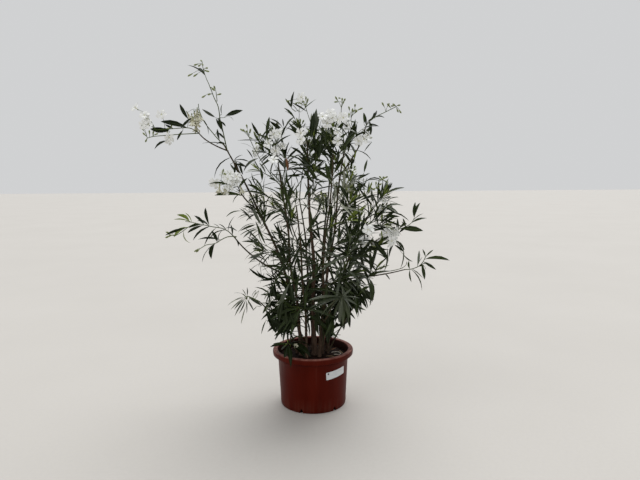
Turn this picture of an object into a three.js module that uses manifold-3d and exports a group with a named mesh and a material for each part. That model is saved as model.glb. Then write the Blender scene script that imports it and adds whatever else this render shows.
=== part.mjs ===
// A white oleander grown as a bushy shrub in a round nursery pot.
// Millimetres, +Z up. The origin is the centre of the pot's flat underside, on the ground.
// +X is the plant's right and +Y its back, as seen from its front.
import * as THREE from "three";
import { mergeVertices } from "three/addons/utils/BufferGeometryUtils.js";
import Module from "manifold-3d";

const wasm = await Module();
wasm.setup();

// Driving dimensions of the pot
const POT_HEIGHT = 278;
const RIM_RADIUS = 200;
const RIM_DEPTH = 26;
const RIM_ROLL = 7;
const SHOULDER_RADIUS = 175;
const BASE_RADIUS = 162;
const POT_WALL = 3;
const POT_FLOOR = 4;
const POT_SIDES = 32;
const DRAIN_SLOTS = 6;
const DRAIN_SLOT_TURN = -50;
const DRAIN_SLOT_WIDTH = 16;
const DRAIN_SLOT_HEIGHT = 22;
const DRAIN_SLOT_REACH = 14;

// Driving dimensions of the potting soil and the label
const SOIL_LEVEL = 246;
const SOIL_FLAT_RADIUS = 138;
const SOIL_EDGE_WAVE = 5;
const LABEL_AZIMUTH = -49;
const LABEL_HEIGHT = 189;
const LABEL_LENGTH = 115;
const LABEL_WIDTH = 37;
const LABEL_TILT = 5;
const LABEL_THICKNESS = 0.8;
const LABEL_BENDS = 10;

// Driving dimensions of the plant
const SEAT_GAP = 0.3;
const MASS_GAP = 1.2;
const CROWN_X = 40;
const CROWN_Y = 0;
const CLUMP_LEAN = 0.06;
const CANE_SIDES = 7;
const BOUGH_SIDES = 6;
const LIMB_RING_SPACING = 130;
const FOOT_CROWDING = 1.8;
const FLARE_SHARE = 0.6;
const FLARE_HEIGHT = 16;
const CLUMP_SIDES = 9;
const CLUMP_ROWS = 7;
const SPRAY_SIDES = 8;
const SPRAY_ROWS = 6;
const LOBES = 8;
const LOBE_DEPTH = 0.42;
const LOBE_SHARPNESS = 5;
const ROUGHNESS = 0.08;
const END_SHARPNESS = 6;
const BOUGH_UPRIGHT = -0.45;
const KNEE_RISE = 0.12;
const LIMB_SWAY = 0.008;
const FULL_TURN = 2 * Math.PI;
const SEEDS = { soil: 7, cane: 100, bough: 200, spray: 300, clump: 400 };

// A cane rises from the soil: foot and tip places, radius at the foot and at the tip, and how
// upright it starts, from 0 for a straight rod to 1 for one that leaves the soil vertically.
const CANES = {
  centre: { foot: [10, -14], tip: [-20, 28, 1302], thick: 11.5, thin: 3.4, upright: 0.3 },
  tall_left: { foot: [-44, 30], tip: [-424, 0, 1292], thick: 8.5, thin: 3.2, upright: 0.45 },
  top_left: { foot: [-56, -22], tip: [-168, -22, 1262], thick: 8, thin: 3, upright: 0.2 },
  top_right: { foot: [43, -2], tip: [160, -22, 1268], thick: 8.5, thin: 3, upright: 0.3 },
  far_right: { foot: [70, 46], tip: [292, 12, 968], thick: 8, thin: 3, upright: 0.5 },
  back_right: { foot: [38, 64], tip: [98, 205, 1230], thick: 7.5, thin: 2.8, upright: 0.5 },
  back_left: { foot: [-2, 68], tip: [-68, 228, 1010], thick: 7.5, thin: 2.8, upright: 0.6 },
  front_left: { foot: [-30, -52], tip: [-66, -216, 1000], thick: 7, thin: 2.8, upright: 0.6 },
  front_right: { foot: [32, -48], tip: [100, -208, 1225], thick: 6, thin: 2.8, upright: 0.25 },
  low_left: { foot: [-80, 14], tip: [-142, 0, 400], thick: 5, thin: 3, upright: 0.5 },
  low_right: { foot: [74, 8], tip: [205, -8, 490], thick: 4, thin: 3, upright: 0.1 },
  sucker: { foot: [-112, -58], tip: [-120, -66, 300], thick: 3.6, thin: 2.6, upright: 0.5 },
};

// A side bough leaves a cane at the given height and ends in the foliage that it carries.
const BOUGHS = {
  far_left: { from: "tall_left", at: 1250, tip: [-540, -4, 1340], thick: 3.2, thin: 2.6 },
  left_flower: { from: "tall_left", at: 960, tip: [-352, -34, 1082], thick: 4, thin: 2.6 },
  left_spray: { from: "tall_left", at: 640, tip: [-388, -8, 846], thick: 4.6, thin: 2.8 },
  low_left_spray: { from: "tall_left", at: 400, tip: [-262, -26, 520], thick: 3.8, thin: 2.6 },
  right_spray: { from: "far_right", at: 760, tip: [404, 2, 880], thick: 4, thin: 2.6 },
  low_right_spray: { from: "far_right", at: 615, tip: [458, 4, 668], thick: 4, thin: 2.4 },
  top_right_spray: { from: "top_right", at: 1130, tip: [262, -16, 1366], thick: 3.8, thin: 2.4 },
  rosette: { from: "front_right", at: 420, tip: [102, -262, 586], thick: 4.2, thin: 2.8 },
  back_left_spray: { from: "back_left", at: 690, tip: [-132, 352, 930], thick: 4.2, thin: 2.6 },
  back_right_spray: { from: "back_right", at: 830, tip: [188, 344, 1080], thick: 4.2, thin: 2.6 },
};

// The round crown is built up in tiers. Each clump stands at an azimuth and a distance from the
// crown's axis, reaches from its lowest to its highest point, and is as wide and as deep as given.
const CLUMPS = {
  low: {
    left: { azimuth: 186, out: 188, low: 352, high: 612, wide: 225, deep: 250 },
    front_left: { azimuth: 235, out: 205, low: 415, high: 655, wide: 230, deep: 200 },
    right: { azimuth: 0, out: 200, low: 440, high: 655, wide: 255, deep: 295 },
    back: { azimuth: 92, out: 180, low: 470, high: 680, wide: 375, deep: 235 },
  },
  middle: {
    left: { azimuth: 185, out: 245, low: 600, high: 925, wide: 280, deep: 310 },
    front_left: { azimuth: 246, out: 255, low: 650, high: 962, wide: 280, deep: 255 },
    front_right: { azimuth: 298, out: 260, low: 690, high: 1000, wide: 290, deep: 255 },
    right: { azimuth: -3, out: 245, low: 640, high: 935, wide: 295, deep: 330 },
    back_right: { azimuth: 58, out: 265, low: 675, high: 1005, wide: 305, deep: 260 },
    back_left: { azimuth: 118, out: 265, low: 670, high: 980, wide: 305, deep: 260 },
    core: { azimuth: 0, out: 0, low: 590, high: 925, wide: 245, deep: 255 },
  },
  upper: {
    left: { azimuth: 180, out: 245, low: 925, high: 1215, wide: 275, deep: 295 },
    front_left: { azimuth: 244, out: 235, low: 965, high: 1255, wide: 265, deep: 230 },
    front_right: { azimuth: 298, out: 245, low: 1005, high: 1290, wide: 270, deep: 245 },
    right: { azimuth: 2, out: 245, low: 935, high: 1185, wide: 280, deep: 310 },
    back_right: { azimuth: 60, out: 245, low: 1010, high: 1285, wide: 275, deep: 245 },
    back_left: { azimuth: 118, out: 245, low: 985, high: 1275, wide: 275, deep: 245 },
    core: { azimuth: 0, out: 0, low: 935, high: 1245, wide: 220, deep: 225 },
  },
  top: {
    left: { azimuth: 184, out: 212, low: 1215, high: 1432, wide: 230, deep: 255 },
    centre: { azimuth: 155, out: 76, low: 1250, high: 1536, wide: 205, deep: 220 },
    right: { azimuth: -9, out: 125, low: 1195, high: 1512, wide: 245, deep: 250 },
    back: { azimuth: 86, out: 200, low: 1215, high: 1440, wide: 295, deep: 215 },
    front: { azimuth: 274, out: 200, low: 1190, high: 1418, wide: 270, deep: 200 },
  },
};

// A spray is a slender mass that stands out of the crown, from the limb that carries it to its
// tip. It is as tall and as broad as given across that line.
const SPRAYS = {
  tall_left: { from: [-420, 0, 1276], to: [-508, 0, 1668], tall: 180, broad: 120, taper: 0.5 },
  far_left: { from: [-520, -4, 1358], to: [-832, -4, 1388], tall: 190, broad: 140, taper: 0.15 },
  left_flower: { from: [-330, -32, 1072], to: [-492, -40, 1160], tall: 140, broad: 150, taper: 0 },
  left: { from: [-370, -8, 840], to: [-674, -8, 884], tall: 180, broad: 120, taper: 0.1 },
  low_left: { from: [-246, -26, 512], to: [-428, -36, 530], tall: 150, broad: 130, taper: 0.1 },
  right: { from: [384, 2, 816], to: [520, 6, 1002], tall: 135, broad: 125, taper: 0 },
  low_right: { from: [440, 4, 668], to: [664, 10, 712], tall: 130, broad: 110, taper: 0.1 },
  top_right: { from: [250, -16, 1352], to: [404, -22, 1452], tall: 95, broad: 90, taper: 0.1 },
  rosette: { from: [100, -236, 618], to: [112, -425, 540], tall: 175, broad: 262, taper: 0 },
  back_left: { from: [-126, 336, 900], to: [-196, 505, 1060], tall: 175, broad: 190, taper: 0.1 },
  back_right: { from: [182, 330, 1050], to: [250, 495, 1210], tall: 175, broad: 190, taper: 0.1 },
  sucker: { from: [-110, -60, 302], to: [-172, -94, 362], tall: 120, broad: 115, taper: 0 },
};

const COLOURS = {
  pot: { color: 0x7a2f22, roughness: 0.45, metalness: 0 },
  soil: { color: 0x2a1e17, roughness: 1, metalness: 0 },
  label: { color: 0xe6e4df, roughness: 0.5, metalness: 0 },
  bark: { color: 0x5c4d3a, roughness: 0.9, metalness: 0 },
  leaves: { color: 0x3b4f33, roughness: 0.6, metalness: 0 },
};

// A repeatable stream of numbers from 0 to 1.
function numberStream(seed) {
  let state = seed;
  return () => {
    state = (state + 0x6d2b79f5) | 0;
    let mixed = Math.imul(state ^ (state >>> 15), 1 | state);
    mixed = (mixed + Math.imul(mixed ^ (mixed >>> 7), 61 | mixed)) ^ mixed;
    return ((mixed ^ (mixed >>> 14)) >>> 0) / 4294967296;
  };
}

// Keeps only places and merges shared corners, so that the surface is closed.
function closed(geometry) {
  const bare = geometry.clone();
  bare.deleteAttribute("normal");
  bare.deleteAttribute("uv");
  return mergeVertices(bare, 1e-4);
}

// Moves every corner of a geometry by a rule.
function reshaped(geometry, rule) {
  const place = geometry.getAttribute("position");
  const point = new THREE.Vector3();
  for (let i = 0; i < place.count; i += 1) {
    point.fromBufferAttribute(place, i);
    const moved = rule(point);
    place.setXYZ(i, moved.x, moved.y, moved.z);
  }
  return geometry;
}

function solidFrom(geometry) {
  return new wasm.Manifold(
    new wasm.Mesh({
      numProp: 3,
      vertProperties: new Float32Array(geometry.getAttribute("position").array),
      triVerts: new Uint32Array(geometry.index.array),
    }),
  );
}

function geometryFrom(solid) {
  const mesh = solid.getMesh();
  const geometry = new THREE.BufferGeometry();
  geometry.setAttribute("position", new THREE.BufferAttribute(mesh.vertProperties, 3));
  geometry.setIndex(new THREE.BufferAttribute(mesh.triVerts, 1));
  geometry.computeVertexNormals();
  return geometry;
}

function largestBody(solid) {
  return solid.decompose().reduce((best, body) => (body.volume() > best.volume() ? body : best));
}

function boxesMeet(a, b) {
  const first = a.boundingBox();
  const second = b.boundingBox();
  return [0, 1, 2].every((k) => first.min[k] < second.max[k] && second.min[k] < first.max[k]);
}

// Cuts every cutter that comes near out of a solid, and keeps the largest piece that is left.
function cutBy(solid, cutters) {
  let left = solid;
  for (const cutter of cutters) {
    if (boxesMeet(left, cutter)) left = largestBody(left.subtract(cutter));
  }
  return left;
}

// The pot is a tapered shell with a flat floor and a thick rolled rim, hollow underneath.
function potGeometry() {
  const rimFoot = POT_HEIGHT - RIM_DEPTH;
  const rollFoot = POT_HEIGHT - RIM_ROLL;
  const outline = [
    [0, 0],
    [BASE_RADIUS, 0],
    [SHOULDER_RADIUS, rimFoot],
    [SHOULDER_RADIUS + 1, rollFoot],
    [RIM_RADIUS - POT_WALL - 1, rollFoot],
    [RIM_RADIUS - POT_WALL, rimFoot],
    [RIM_RADIUS, rimFoot],
    [RIM_RADIUS, rollFoot],
    [RIM_RADIUS - RIM_ROLL, POT_HEIGHT],
    [SHOULDER_RADIUS + 1, POT_HEIGHT],
    [SHOULDER_RADIUS - POT_WALL, rollFoot],
    [BASE_RADIUS - POT_WALL, POT_FLOOR],
    [0, POT_FLOOR],
  ].map(([radius, height]) => new THREE.Vector2(radius, height));
  const shell = closed(new THREE.LatheGeometry(outline, POT_SIDES).rotateX(Math.PI / 2));
  const slots = Array.from({ length: DRAIN_SLOTS }, (_, k) => drainSlot(k));
  return geometryFrom(cutBy(outwardSolid(shell), slots));
}

// A lathe turned upright may come out facing inwards: its faces are then turned round.
function outwardSolid(geometry) {
  const solid = solidFrom(geometry);
  if (solid.volume() > 0) return solid;
  const index = geometry.index.array;
  for (let i = 0; i < index.length; i += 3) {
    [index[i + 1], index[i + 2]] = [index[i + 2], index[i + 1]];
  }
  return solidFrom(geometry);
}

// One drain slot, cut through the corner where the wall meets the floor.
function drainSlot(count) {
  const azimuth = THREE.MathUtils.degToRad(DRAIN_SLOT_TURN + (360 / DRAIN_SLOTS) * count);
  const length = 2 * DRAIN_SLOT_REACH;
  const block = new THREE.BoxGeometry(length, DRAIN_SLOT_WIDTH, 2 * DRAIN_SLOT_HEIGHT);
  block.translate(BASE_RADIUS, 0, 0).rotateZ(azimuth);
  return solidFrom(closed(block));
}

// The soil fills the pot up to a flat patch round the canes, and waves a little near the wall.
function soilGeometry() {
  const random = numberStream(SEEDS.soil);
  const clearance = SEAT_GAP / Math.cos(Math.PI / POT_SIDES);
  const innerRise = POT_HEIGHT - RIM_ROLL - POT_FLOOR;
  const radiusAt = (height) => {
    const share = (height - POT_FLOOR) / innerRise;
    return BASE_RADIUS - POT_WALL + (SHOULDER_RADIUS - BASE_RADIUS) * share - clearance;
  };
  const floor = POT_FLOOR + SEAT_GAP;
  const outline = [
    [0, floor],
    [radiusAt(floor), floor],
    [radiusAt(SOIL_LEVEL), SOIL_LEVEL],
    [SOIL_FLAT_RADIUS, SOIL_LEVEL],
    [0, SOIL_LEVEL],
  ].map(([radius, height]) => new THREE.Vector2(radius, height));
  const body = closed(new THREE.LatheGeometry(outline, POT_SIDES).rotateX(Math.PI / 2));
  const waved = reshaped(body, (point) => {
    const radius = Math.hypot(point.x, point.y);
    const atEdge = point.z > SOIL_LEVEL - 1 && radius > SOIL_FLAT_RADIUS + 1;
    if (!atEdge) return point;
    // A lower edge also stands nearer to the axis, because the wall leans inwards there.
    const drop = SOIL_EDGE_WAVE * random();
    return point.multiplyScalar(radiusAt(SOIL_LEVEL - drop) / radius).setZ(SOIL_LEVEL - drop);
  });
  return geometryFrom(outwardSolid(waved));
}

// The label is a thin plate bent round the wall.
function labelGeometry() {
  const middle = THREE.MathUtils.degToRad(LABEL_AZIMUTH);
  const tilt = THREE.MathUtils.degToRad(LABEL_TILT);
  const slope = (SHOULDER_RADIUS - BASE_RADIUS) / (POT_HEIGHT - RIM_DEPTH);
  const plate = new THREE.BoxGeometry(
    LABEL_LENGTH,
    LABEL_WIDTH,
    LABEL_THICKNESS,
    LABEL_BENDS,
  );
  const bent = reshaped(plate, (point) => {
    const along = point.x * Math.cos(tilt) - point.y * Math.sin(tilt);
    const height = LABEL_HEIGHT + point.x * Math.sin(tilt) + point.y * Math.cos(tilt);
    const wall = BASE_RADIUS + slope * height;
    const radius = wall + SEAT_GAP + LABEL_THICKNESS / 2 + point.z;
    const azimuth = middle + along / wall;
    return new THREE.Vector3(radius * Math.cos(azimuth), radius * Math.sin(azimuth), height);
  });
  return geometryFrom(outwardSolid(closed(bent)));
}

// A limb's middle line: a curve that starts upright and leans over, with a slight sway.
class LimbLine extends THREE.Curve {
  constructor(start, end, upright, seed) {
    super();
    const reach = end.clone().sub(start);
    const knee = start.clone();
    knee.x += reach.x * 0.5 * (1 - upright);
    knee.y += reach.y * 0.5 * (1 - upright);
    knee.z += reach.z * (0.5 + KNEE_RISE * upright);
    this.bend = new THREE.QuadraticBezierCurve3(start, knee, end);
    const random = numberStream(seed);
    this.sway = reach.length() * LIMB_SWAY;
    this.turns = [1.5 + random(), 1.5 + random()];
    this.starts = [FULL_TURN * random(), FULL_TURN * random()];
  }

  getPoint(t, target = new THREE.Vector3()) {
    this.bend.getPoint(t, target);
    const swell = this.sway * Math.sin(Math.PI * t);
    target.x += swell * Math.sin(FULL_TURN * this.turns[0] * t + this.starts[0]);
    target.y += swell * Math.sin(FULL_TURN * this.turns[1] * t + this.starts[1]);
    return target;
  }
}

// A tapering rod bent along a limb's line. grow makes it thicker and longer, for cutting a seat.
function limbGeometry(limb, grow) {
  const length = limb.line.getLength();
  const steps = Math.max(3, Math.round(length / LIMB_RING_SPACING));
  const rod = new THREE.CylinderGeometry(1, 1, 1, limb.sides, steps);
  reshaped(rod, (corner) => {
    const share = corner.y + 0.5;
    const t = limb.flared ? share ** FOOT_CROWDING : share;
    const middle = limb.line.getPoint(t);
    const heading = limb.line.getTangent(t);
    if (limb.flared && t === 0) heading.set(0, 0, 1);
    const side = new THREE.Vector3(heading.z, 0, -heading.x).normalize();
    const other = side.clone().cross(heading);
    const height = t * length;
    const flare = limb.flared ? FLARE_SHARE * limb.thick * Math.exp(-height / FLARE_HEIGHT) : 0;
    const radius = limb.thick + (limb.thin - limb.thick) * t + flare + grow;
    const ends = share === 0 ? -grow : share === 1 ? grow : 0;
    return middle
      .addScaledVector(side, radius * corner.x)
      .addScaledVector(other, radius * corner.z)
      .addScaledVector(heading, ends);
  });
  return closed(rod);
}

// The point of a limb's line at a given height.
function pointAtHeight(line, height) {
  let low = 0;
  let high = 1;
  for (let step = 0; step < 30; step += 1) {
    const middle = (low + high) / 2;
    if (line.getPoint(middle).z < height) low = middle;
    else high = middle;
  }
  return line.getPoint((low + high) / 2);
}

// Works out every limb's line and thickness, canes first.
function limbList() {
  const limbs = [];
  const canes = {};
  Object.entries(CANES).forEach(([name, cane], k) => {
    const foot = new THREE.Vector3(cane.foot[0], cane.foot[1], SOIL_LEVEL + SEAT_GAP);
    const line = new LimbLine(foot, new THREE.Vector3(...cane.tip), cane.upright, SEEDS.cane + k);
    canes[name] = line;
    const { thick, thin } = cane;
    limbs.push({ name: `cane_${name}`, line, thick, thin, sides: CANE_SIDES, flared: true });
  });
  Object.entries(BOUGHS).forEach(([name, bough], k) => {
    const start = pointAtHeight(canes[bough.from], bough.at);
    const line = new LimbLine(start, new THREE.Vector3(...bough.tip), BOUGH_UPRIGHT, SEEDS.bough + k);
    const { thick, thin } = bough;
    limbs.push({ name: `bough_${name}`, line, thick, thin, sides: BOUGH_SIDES, flared: false });
  });
  return limbs;
}

// Directions spread evenly over a ball and shaken, one for each lobe of a mass.
function lobeDirections(random) {
  return Array.from({ length: LOBES }, (_, k) => {
    const height = 1 - (2 * k + 1) / LOBES;
    const turn = 2.4 * k + 0.9 * random();
    const flat = Math.sqrt(1 - height * height);
    return new THREE.Vector3(flat * Math.cos(turn), flat * Math.sin(turn), height);
  });
}

// One closed, uneven mass of foliage about the line from its low end to its high end. It is a
// ball pulled out into lobes, slimmer towards its high end where it tapers.
function massGeometry(mass, grow) {
  const low = new THREE.Vector3(...mass.low);
  const high = new THREE.Vector3(...mass.high);
  const middle = low.clone().add(high).multiplyScalar(0.5);
  const along = high.clone().sub(low);
  const halfLength = along.length() / 2;
  along.normalize();
  const across = new THREE.Vector3(...mass.across);
  across.addScaledVector(along, -across.dot(along)).normalize();
  const through = along.clone().cross(across);
  const random = numberStream(mass.seed);
  const lobes = lobeDirections(random);
  const ball = closed(new THREE.SphereGeometry(1, mass.sides, mass.rows).rotateX(Math.PI / 2));
  return reshaped(ball, (corner) => {
    const nearness = Math.max(...lobes.map((lobe) => (1 + lobe.dot(corner)) / 2));
    const lobed = 1 - LOBE_DEPTH * (1 - nearness ** LOBE_SHARPNESS) - ROUGHNESS * random();
    // The two ends are points of the outline, so they keep their full reach.
    const shrink = THREE.MathUtils.lerp(lobed, 1, Math.abs(corner.z) ** END_SHARPNESS);
    const slimmed = shrink * (1 - mass.taper * corner.z);
    return middle
      .clone()
      .addScaledVector(across, corner.x * ((mass.breadth / 2) * slimmed + grow))
      .addScaledVector(through, corner.y * ((mass.depth / 2) * slimmed + grow))
      .addScaledVector(along, corner.z * (halfLength * shrink + grow));
  });
}

// Every mass of foliage, the outstanding sprays first, so that the clumps are cut round them.
function massList() {
  const masses = [];
  Object.entries(SPRAYS).forEach(([name, spray], k) => {
    masses.push({
      name: `spray_${name}`,
      low: spray.from,
      high: spray.to,
      across: [0, 0, 1],
      breadth: spray.tall,
      depth: spray.broad,
      taper: spray.taper,
      sides: SPRAY_SIDES,
      rows: SPRAY_ROWS,
      seed: SEEDS.spray + k,
    });
  });
  Object.entries(CLUMPS).forEach(([tier, places], row) => {
    Object.entries(places).forEach(([side, clump], k) => {
      const azimuth = THREE.MathUtils.degToRad(clump.azimuth);
      const middle = [CROWN_X + clump.out * Math.cos(azimuth), CROWN_Y + clump.out * Math.sin(azimuth)];
      const lean = clump.out ? CLUMP_LEAN * (clump.high - clump.low) : 0;
      const step = [lean * Math.cos(azimuth), lean * Math.sin(azimuth)];
      masses.push({
        name: `foliage_${tier}_${side}`,
        low: [middle[0] - step[0], middle[1] - step[1], clump.low],
        high: [middle[0] + step[0], middle[1] + step[1], clump.high],
        across: [1, 0, 0],
        breadth: clump.wide,
        depth: clump.deep,
        taper: 0,
        sides: CLUMP_SIDES,
        rows: CLUMP_ROWS,
        seed: SEEDS.clump + 20 * row + k,
      });
    });
  });
  return masses;
}

function addPiece(group, name, geometry, look) {
  const piece = new THREE.Mesh(geometry, new THREE.MeshStandardMaterial(look));
  piece.name = name;
  group.add(piece);
}

const oleander = new THREE.Group();
oleander.name = "potted_oleander";

addPiece(oleander, "pot", potGeometry(), COLOURS.pot);
addPiece(oleander, "potting_soil", soilGeometry(), COLOURS.soil);
addPiece(oleander, "pot_label", labelGeometry(), COLOURS.label);

const limbCutters = [];
for (const limb of limbList()) {
  const rod = solidFrom(limbGeometry(limb, 0));
  const fitted = limb.flared ? rod : cutBy(rod, limbCutters);
  limbCutters.push(solidFrom(limbGeometry(limb, SEAT_GAP)));
  addPiece(oleander, limb.name, geometryFrom(fitted), COLOURS.bark);
}

const massCutters = [];
for (const mass of massList()) {
  const whole = solidFrom(massGeometry(mass, 0));
  const fitted = cutBy(whole, [...limbCutters, ...massCutters]);
  massCutters.push(solidFrom(massGeometry(mass, MASS_GAP)));
  addPiece(oleander, mass.name, geometryFrom(fitted), COLOURS.leaves);
}

export default oleander;
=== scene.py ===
import math
import random

import bpy
import numpy as np
from mathutils import Matrix, Quaternion, Vector, noise
from mathutils.bvhtree import BVHTree


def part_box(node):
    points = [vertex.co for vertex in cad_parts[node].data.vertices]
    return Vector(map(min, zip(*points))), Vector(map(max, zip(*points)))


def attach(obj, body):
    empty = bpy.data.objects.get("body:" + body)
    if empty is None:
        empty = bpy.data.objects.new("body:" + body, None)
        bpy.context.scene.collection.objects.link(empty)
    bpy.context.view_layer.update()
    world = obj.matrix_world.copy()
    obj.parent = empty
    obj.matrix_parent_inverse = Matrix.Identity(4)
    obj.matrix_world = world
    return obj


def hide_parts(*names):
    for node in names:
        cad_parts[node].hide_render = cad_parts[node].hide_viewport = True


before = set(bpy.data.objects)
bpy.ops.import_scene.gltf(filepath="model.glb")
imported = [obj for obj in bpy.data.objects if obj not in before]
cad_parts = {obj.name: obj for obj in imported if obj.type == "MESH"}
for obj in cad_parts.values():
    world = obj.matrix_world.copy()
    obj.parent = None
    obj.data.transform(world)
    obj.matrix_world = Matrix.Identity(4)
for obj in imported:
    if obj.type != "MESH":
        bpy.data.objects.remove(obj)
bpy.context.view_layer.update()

# Camera: it stands 2.6 m in front of the pot, a little above the crown's middle, and looks
# a little down, with the lens and the slight tilt that the picture was taken with.
EYE = Vector((0.039, -2.607, 1.1226))
LOOK_DOWN = math.radians(6.66)
HORIZON_TILT = math.radians(-0.40)
LENS_MM = 30.15
PICTURE_WIDTH_MM = 36
SIGHT_REACH = 200

ahead = Vector((0, math.cos(LOOK_DOWN), -math.sin(LOOK_DOWN)))
level_right = Vector((1, 0, 0))
level_up = Vector((0, math.sin(LOOK_DOWN), math.cos(LOOK_DOWN)))
picture_right = level_right * math.cos(HORIZON_TILT) + level_up * math.sin(HORIZON_TILT)
picture_up = level_up * math.cos(HORIZON_TILT) - level_right * math.sin(HORIZON_TILT)
lens = bpy.data.cameras.new("garden_camera")
lens.lens = LENS_MM
lens.sensor_width = PICTURE_WIDTH_MM
lens.clip_end = SIGHT_REACH
camera = bpy.data.objects.new("garden_camera", lens)
camera.matrix_world = Matrix.Translation(EYE) @ Matrix(
    (picture_right, picture_up, -ahead)
).transposed().to_4x4()
bpy.context.scene.collection.objects.link(camera)
bpy.context.scene.camera = camera

# Studio light: a pale even sky all round, a very soft sun high behind the crown, and a weak one
# from the left front that lifts the pot's side.
SKY_COLOUR = (0.93, 0.94, 0.95, 1)
SKY_STRENGTH = 0.68
SUNS = {
    "high_light": {"from": (0.35, 0.9, 1.6), "softness": 55, "strength": 2.4},
    "side_light": {"from": (-1.0, -0.7, 0.9), "softness": 60, "strength": 0.44},
}
world = bpy.data.worlds.new("pale_sky")
world.use_nodes = True
backdrop = world.node_tree.nodes["Background"]
backdrop.inputs["Color"].default_value = SKY_COLOUR
backdrop.inputs["Strength"].default_value = SKY_STRENGTH
bpy.context.scene.world = world
bpy.context.scene.view_settings.view_transform = "Standard"
for sun_name, sun in SUNS.items():
    glow = bpy.data.lights.new(sun_name, "SUN")
    glow.angle = math.radians(sun["softness"])
    glow.energy = sun["strength"]
    lamp = bpy.data.objects.new(sun_name, glow)
    lamp.rotation_euler = Vector(sun["from"]).to_track_quat("Z", "Y").to_euler()
    bpy.context.scene.collection.objects.link(lamp)


# Floor: plain pale screed, with the faint cloudiness of a swept and dusty surface. It is the
# stage only. The wiring that all finishes and shapes use is made here, where it is first needed.
class Wire:
    """One output of a node, with the arithmetic that a number coming out of it can do."""

    def __init__(self, bench, socket):
        self.bench = bench
        self.socket = socket

    def maths(self, operation, first, second):
        return self.bench.add("ShaderNodeMath", {"operation": operation}, {0: first, 1: second})

    def __add__(self, other):
        return self.maths("ADD", self, other)

    def __sub__(self, other):
        return self.maths("SUBTRACT", self, other)

    def __rsub__(self, other):
        return self.maths("SUBTRACT", other, self)

    def __mul__(self, other):
        return self.maths("MULTIPLY", self, other)

    __radd__ = __add__
    __rmul__ = __mul__

    def between(self, low, high):
        """0 below low, 1 above high, and a straight rise from one to the other."""
        limits = {"From Min": low, "From Max": high}
        return self.bench.add("ShaderNodeMapRange", {"clamp": True}, {"Value": self, **limits})

    def other(self, name):
        """Another output of the same node."""
        return Wire(self.bench, self.socket.node.outputs[name])


class Bench:
    """A node tree that is being wired, for a finish or for a shape."""

    def __init__(self, tree):
        self.tree = tree

    def add(self, kind, settings=None, sockets=None):
        """Adds a node of a kind, sets it up, fills or links its sockets, and gives its output."""
        node = self.tree.nodes.new(kind)
        for name, value in (settings or {}).items():
            setattr(node, name, value)
        for name, value in (sockets or {}).items():
            socket = self.find_socket(node, name)
            if isinstance(value, Wire):
                self.tree.links.new(value.socket, socket)
            else:
                socket.default_value = value
        return Wire(self, node.outputs[0]) if node.outputs else None

    def find_socket(self, node, name):
        if isinstance(name, int):
            return node.inputs[name]
        by_identifier = [s for s in node.inputs if s.identifier == name]
        return by_identifier[0] if by_identifier else node.inputs[name]

    def mix(self, share, first, second):
        """One colour going over into another."""
        ends = [end if isinstance(end, Wire) else (*end, 1) for end in (first, second)]
        colours = {"Factor_Float": share, "A_Color": ends[0], "B_Color": ends[1]}
        return self.add("ShaderNodeMix", {"data_type": "RGBA"}, colours).other(2)

    def place(self, stretch=(1, 1, 1)):
        """Where a point of the piece is, in metres, stretched as asked."""
        where = self.add("ShaderNodeTexCoord").other("Object")
        return self.add("ShaderNodeMapping", {}, {"Vector": where, "Scale": stretch})

    def cloud(self, place, scale, detail=3.0, roughness=0.55):
        """A soft random pattern from 0 to 1 with patches of about 1 / scale metres."""
        look = {"Vector": place, "Scale": scale, "Detail": detail, "Roughness": roughness}
        return self.add("ShaderNodeTexNoise", {}, look)

    def bump(self, height, depth, strength=1.0):
        """Small relief of a depth in metres."""
        relief = {"Height": height, "Distance": depth, "Strength": strength}
        return self.add("ShaderNodeBump", {}, relief)


class FinishBench(Bench):
    """A bench for a finish of a piece."""

    def __init__(self, name):
        self.finish = bpy.data.materials.new(name)
        self.finish.use_nodes = True
        self.finish.node_tree.nodes.clear()
        super().__init__(self.finish.node_tree)

    def closed(self, surface, roughness, relief, **fixed):
        """The finish with its colour, roughness and relief, and what is the same all over."""
        sockets = {"Base Color": surface, "Roughness": roughness, "Normal": relief}
        sockets.update({name.replace("_", " "): value for name, value in fixed.items()})
        shader = self.add("ShaderNodeBsdfPrincipled", {}, sockets)
        self.add("ShaderNodeOutputMaterial", {}, {"Surface": shader})
        return self.finish


def floor_finish():
    bench = FinishBench("floor_screed")
    place = bench.place()
    patches = bench.cloud(place, 0.9).between(0.3, 0.7)
    grain = bench.cloud(place, 60.0, 2.0)
    pale = bench.mix(patches, (0.475, 0.455, 0.425), (0.495, 0.475, 0.445))
    surface = bench.mix(grain.between(0.35, 0.75) * 0.25, pale, (0.44, 0.42, 0.39))
    return bench.closed(surface, 0.85, bench.bump(grain, 0.0004))


def new_piece(name, mesh, finishes=()):
    """An object at the origin that shows this mesh."""
    for finish in finishes:
        mesh.materials.append(finish)
    piece = bpy.data.objects.new(name, mesh)
    bpy.context.scene.collection.objects.link(piece)
    return piece


def mesh_of(name, corners, faces):
    mesh = bpy.data.meshes.new(name)
    mesh.from_pydata(corners, [], faces)
    mesh.update()
    return mesh


FLOOR_REACH = 40
floor_corners = [(x * FLOOR_REACH, y * FLOOR_REACH, 0) for x, y in ((-1, -1), (1, -1), (1, 1), (-1, 1))]
floor = new_piece("floor", mesh_of("floor", floor_corners, [(0, 1, 2, 3)]), [floor_finish()])

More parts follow.
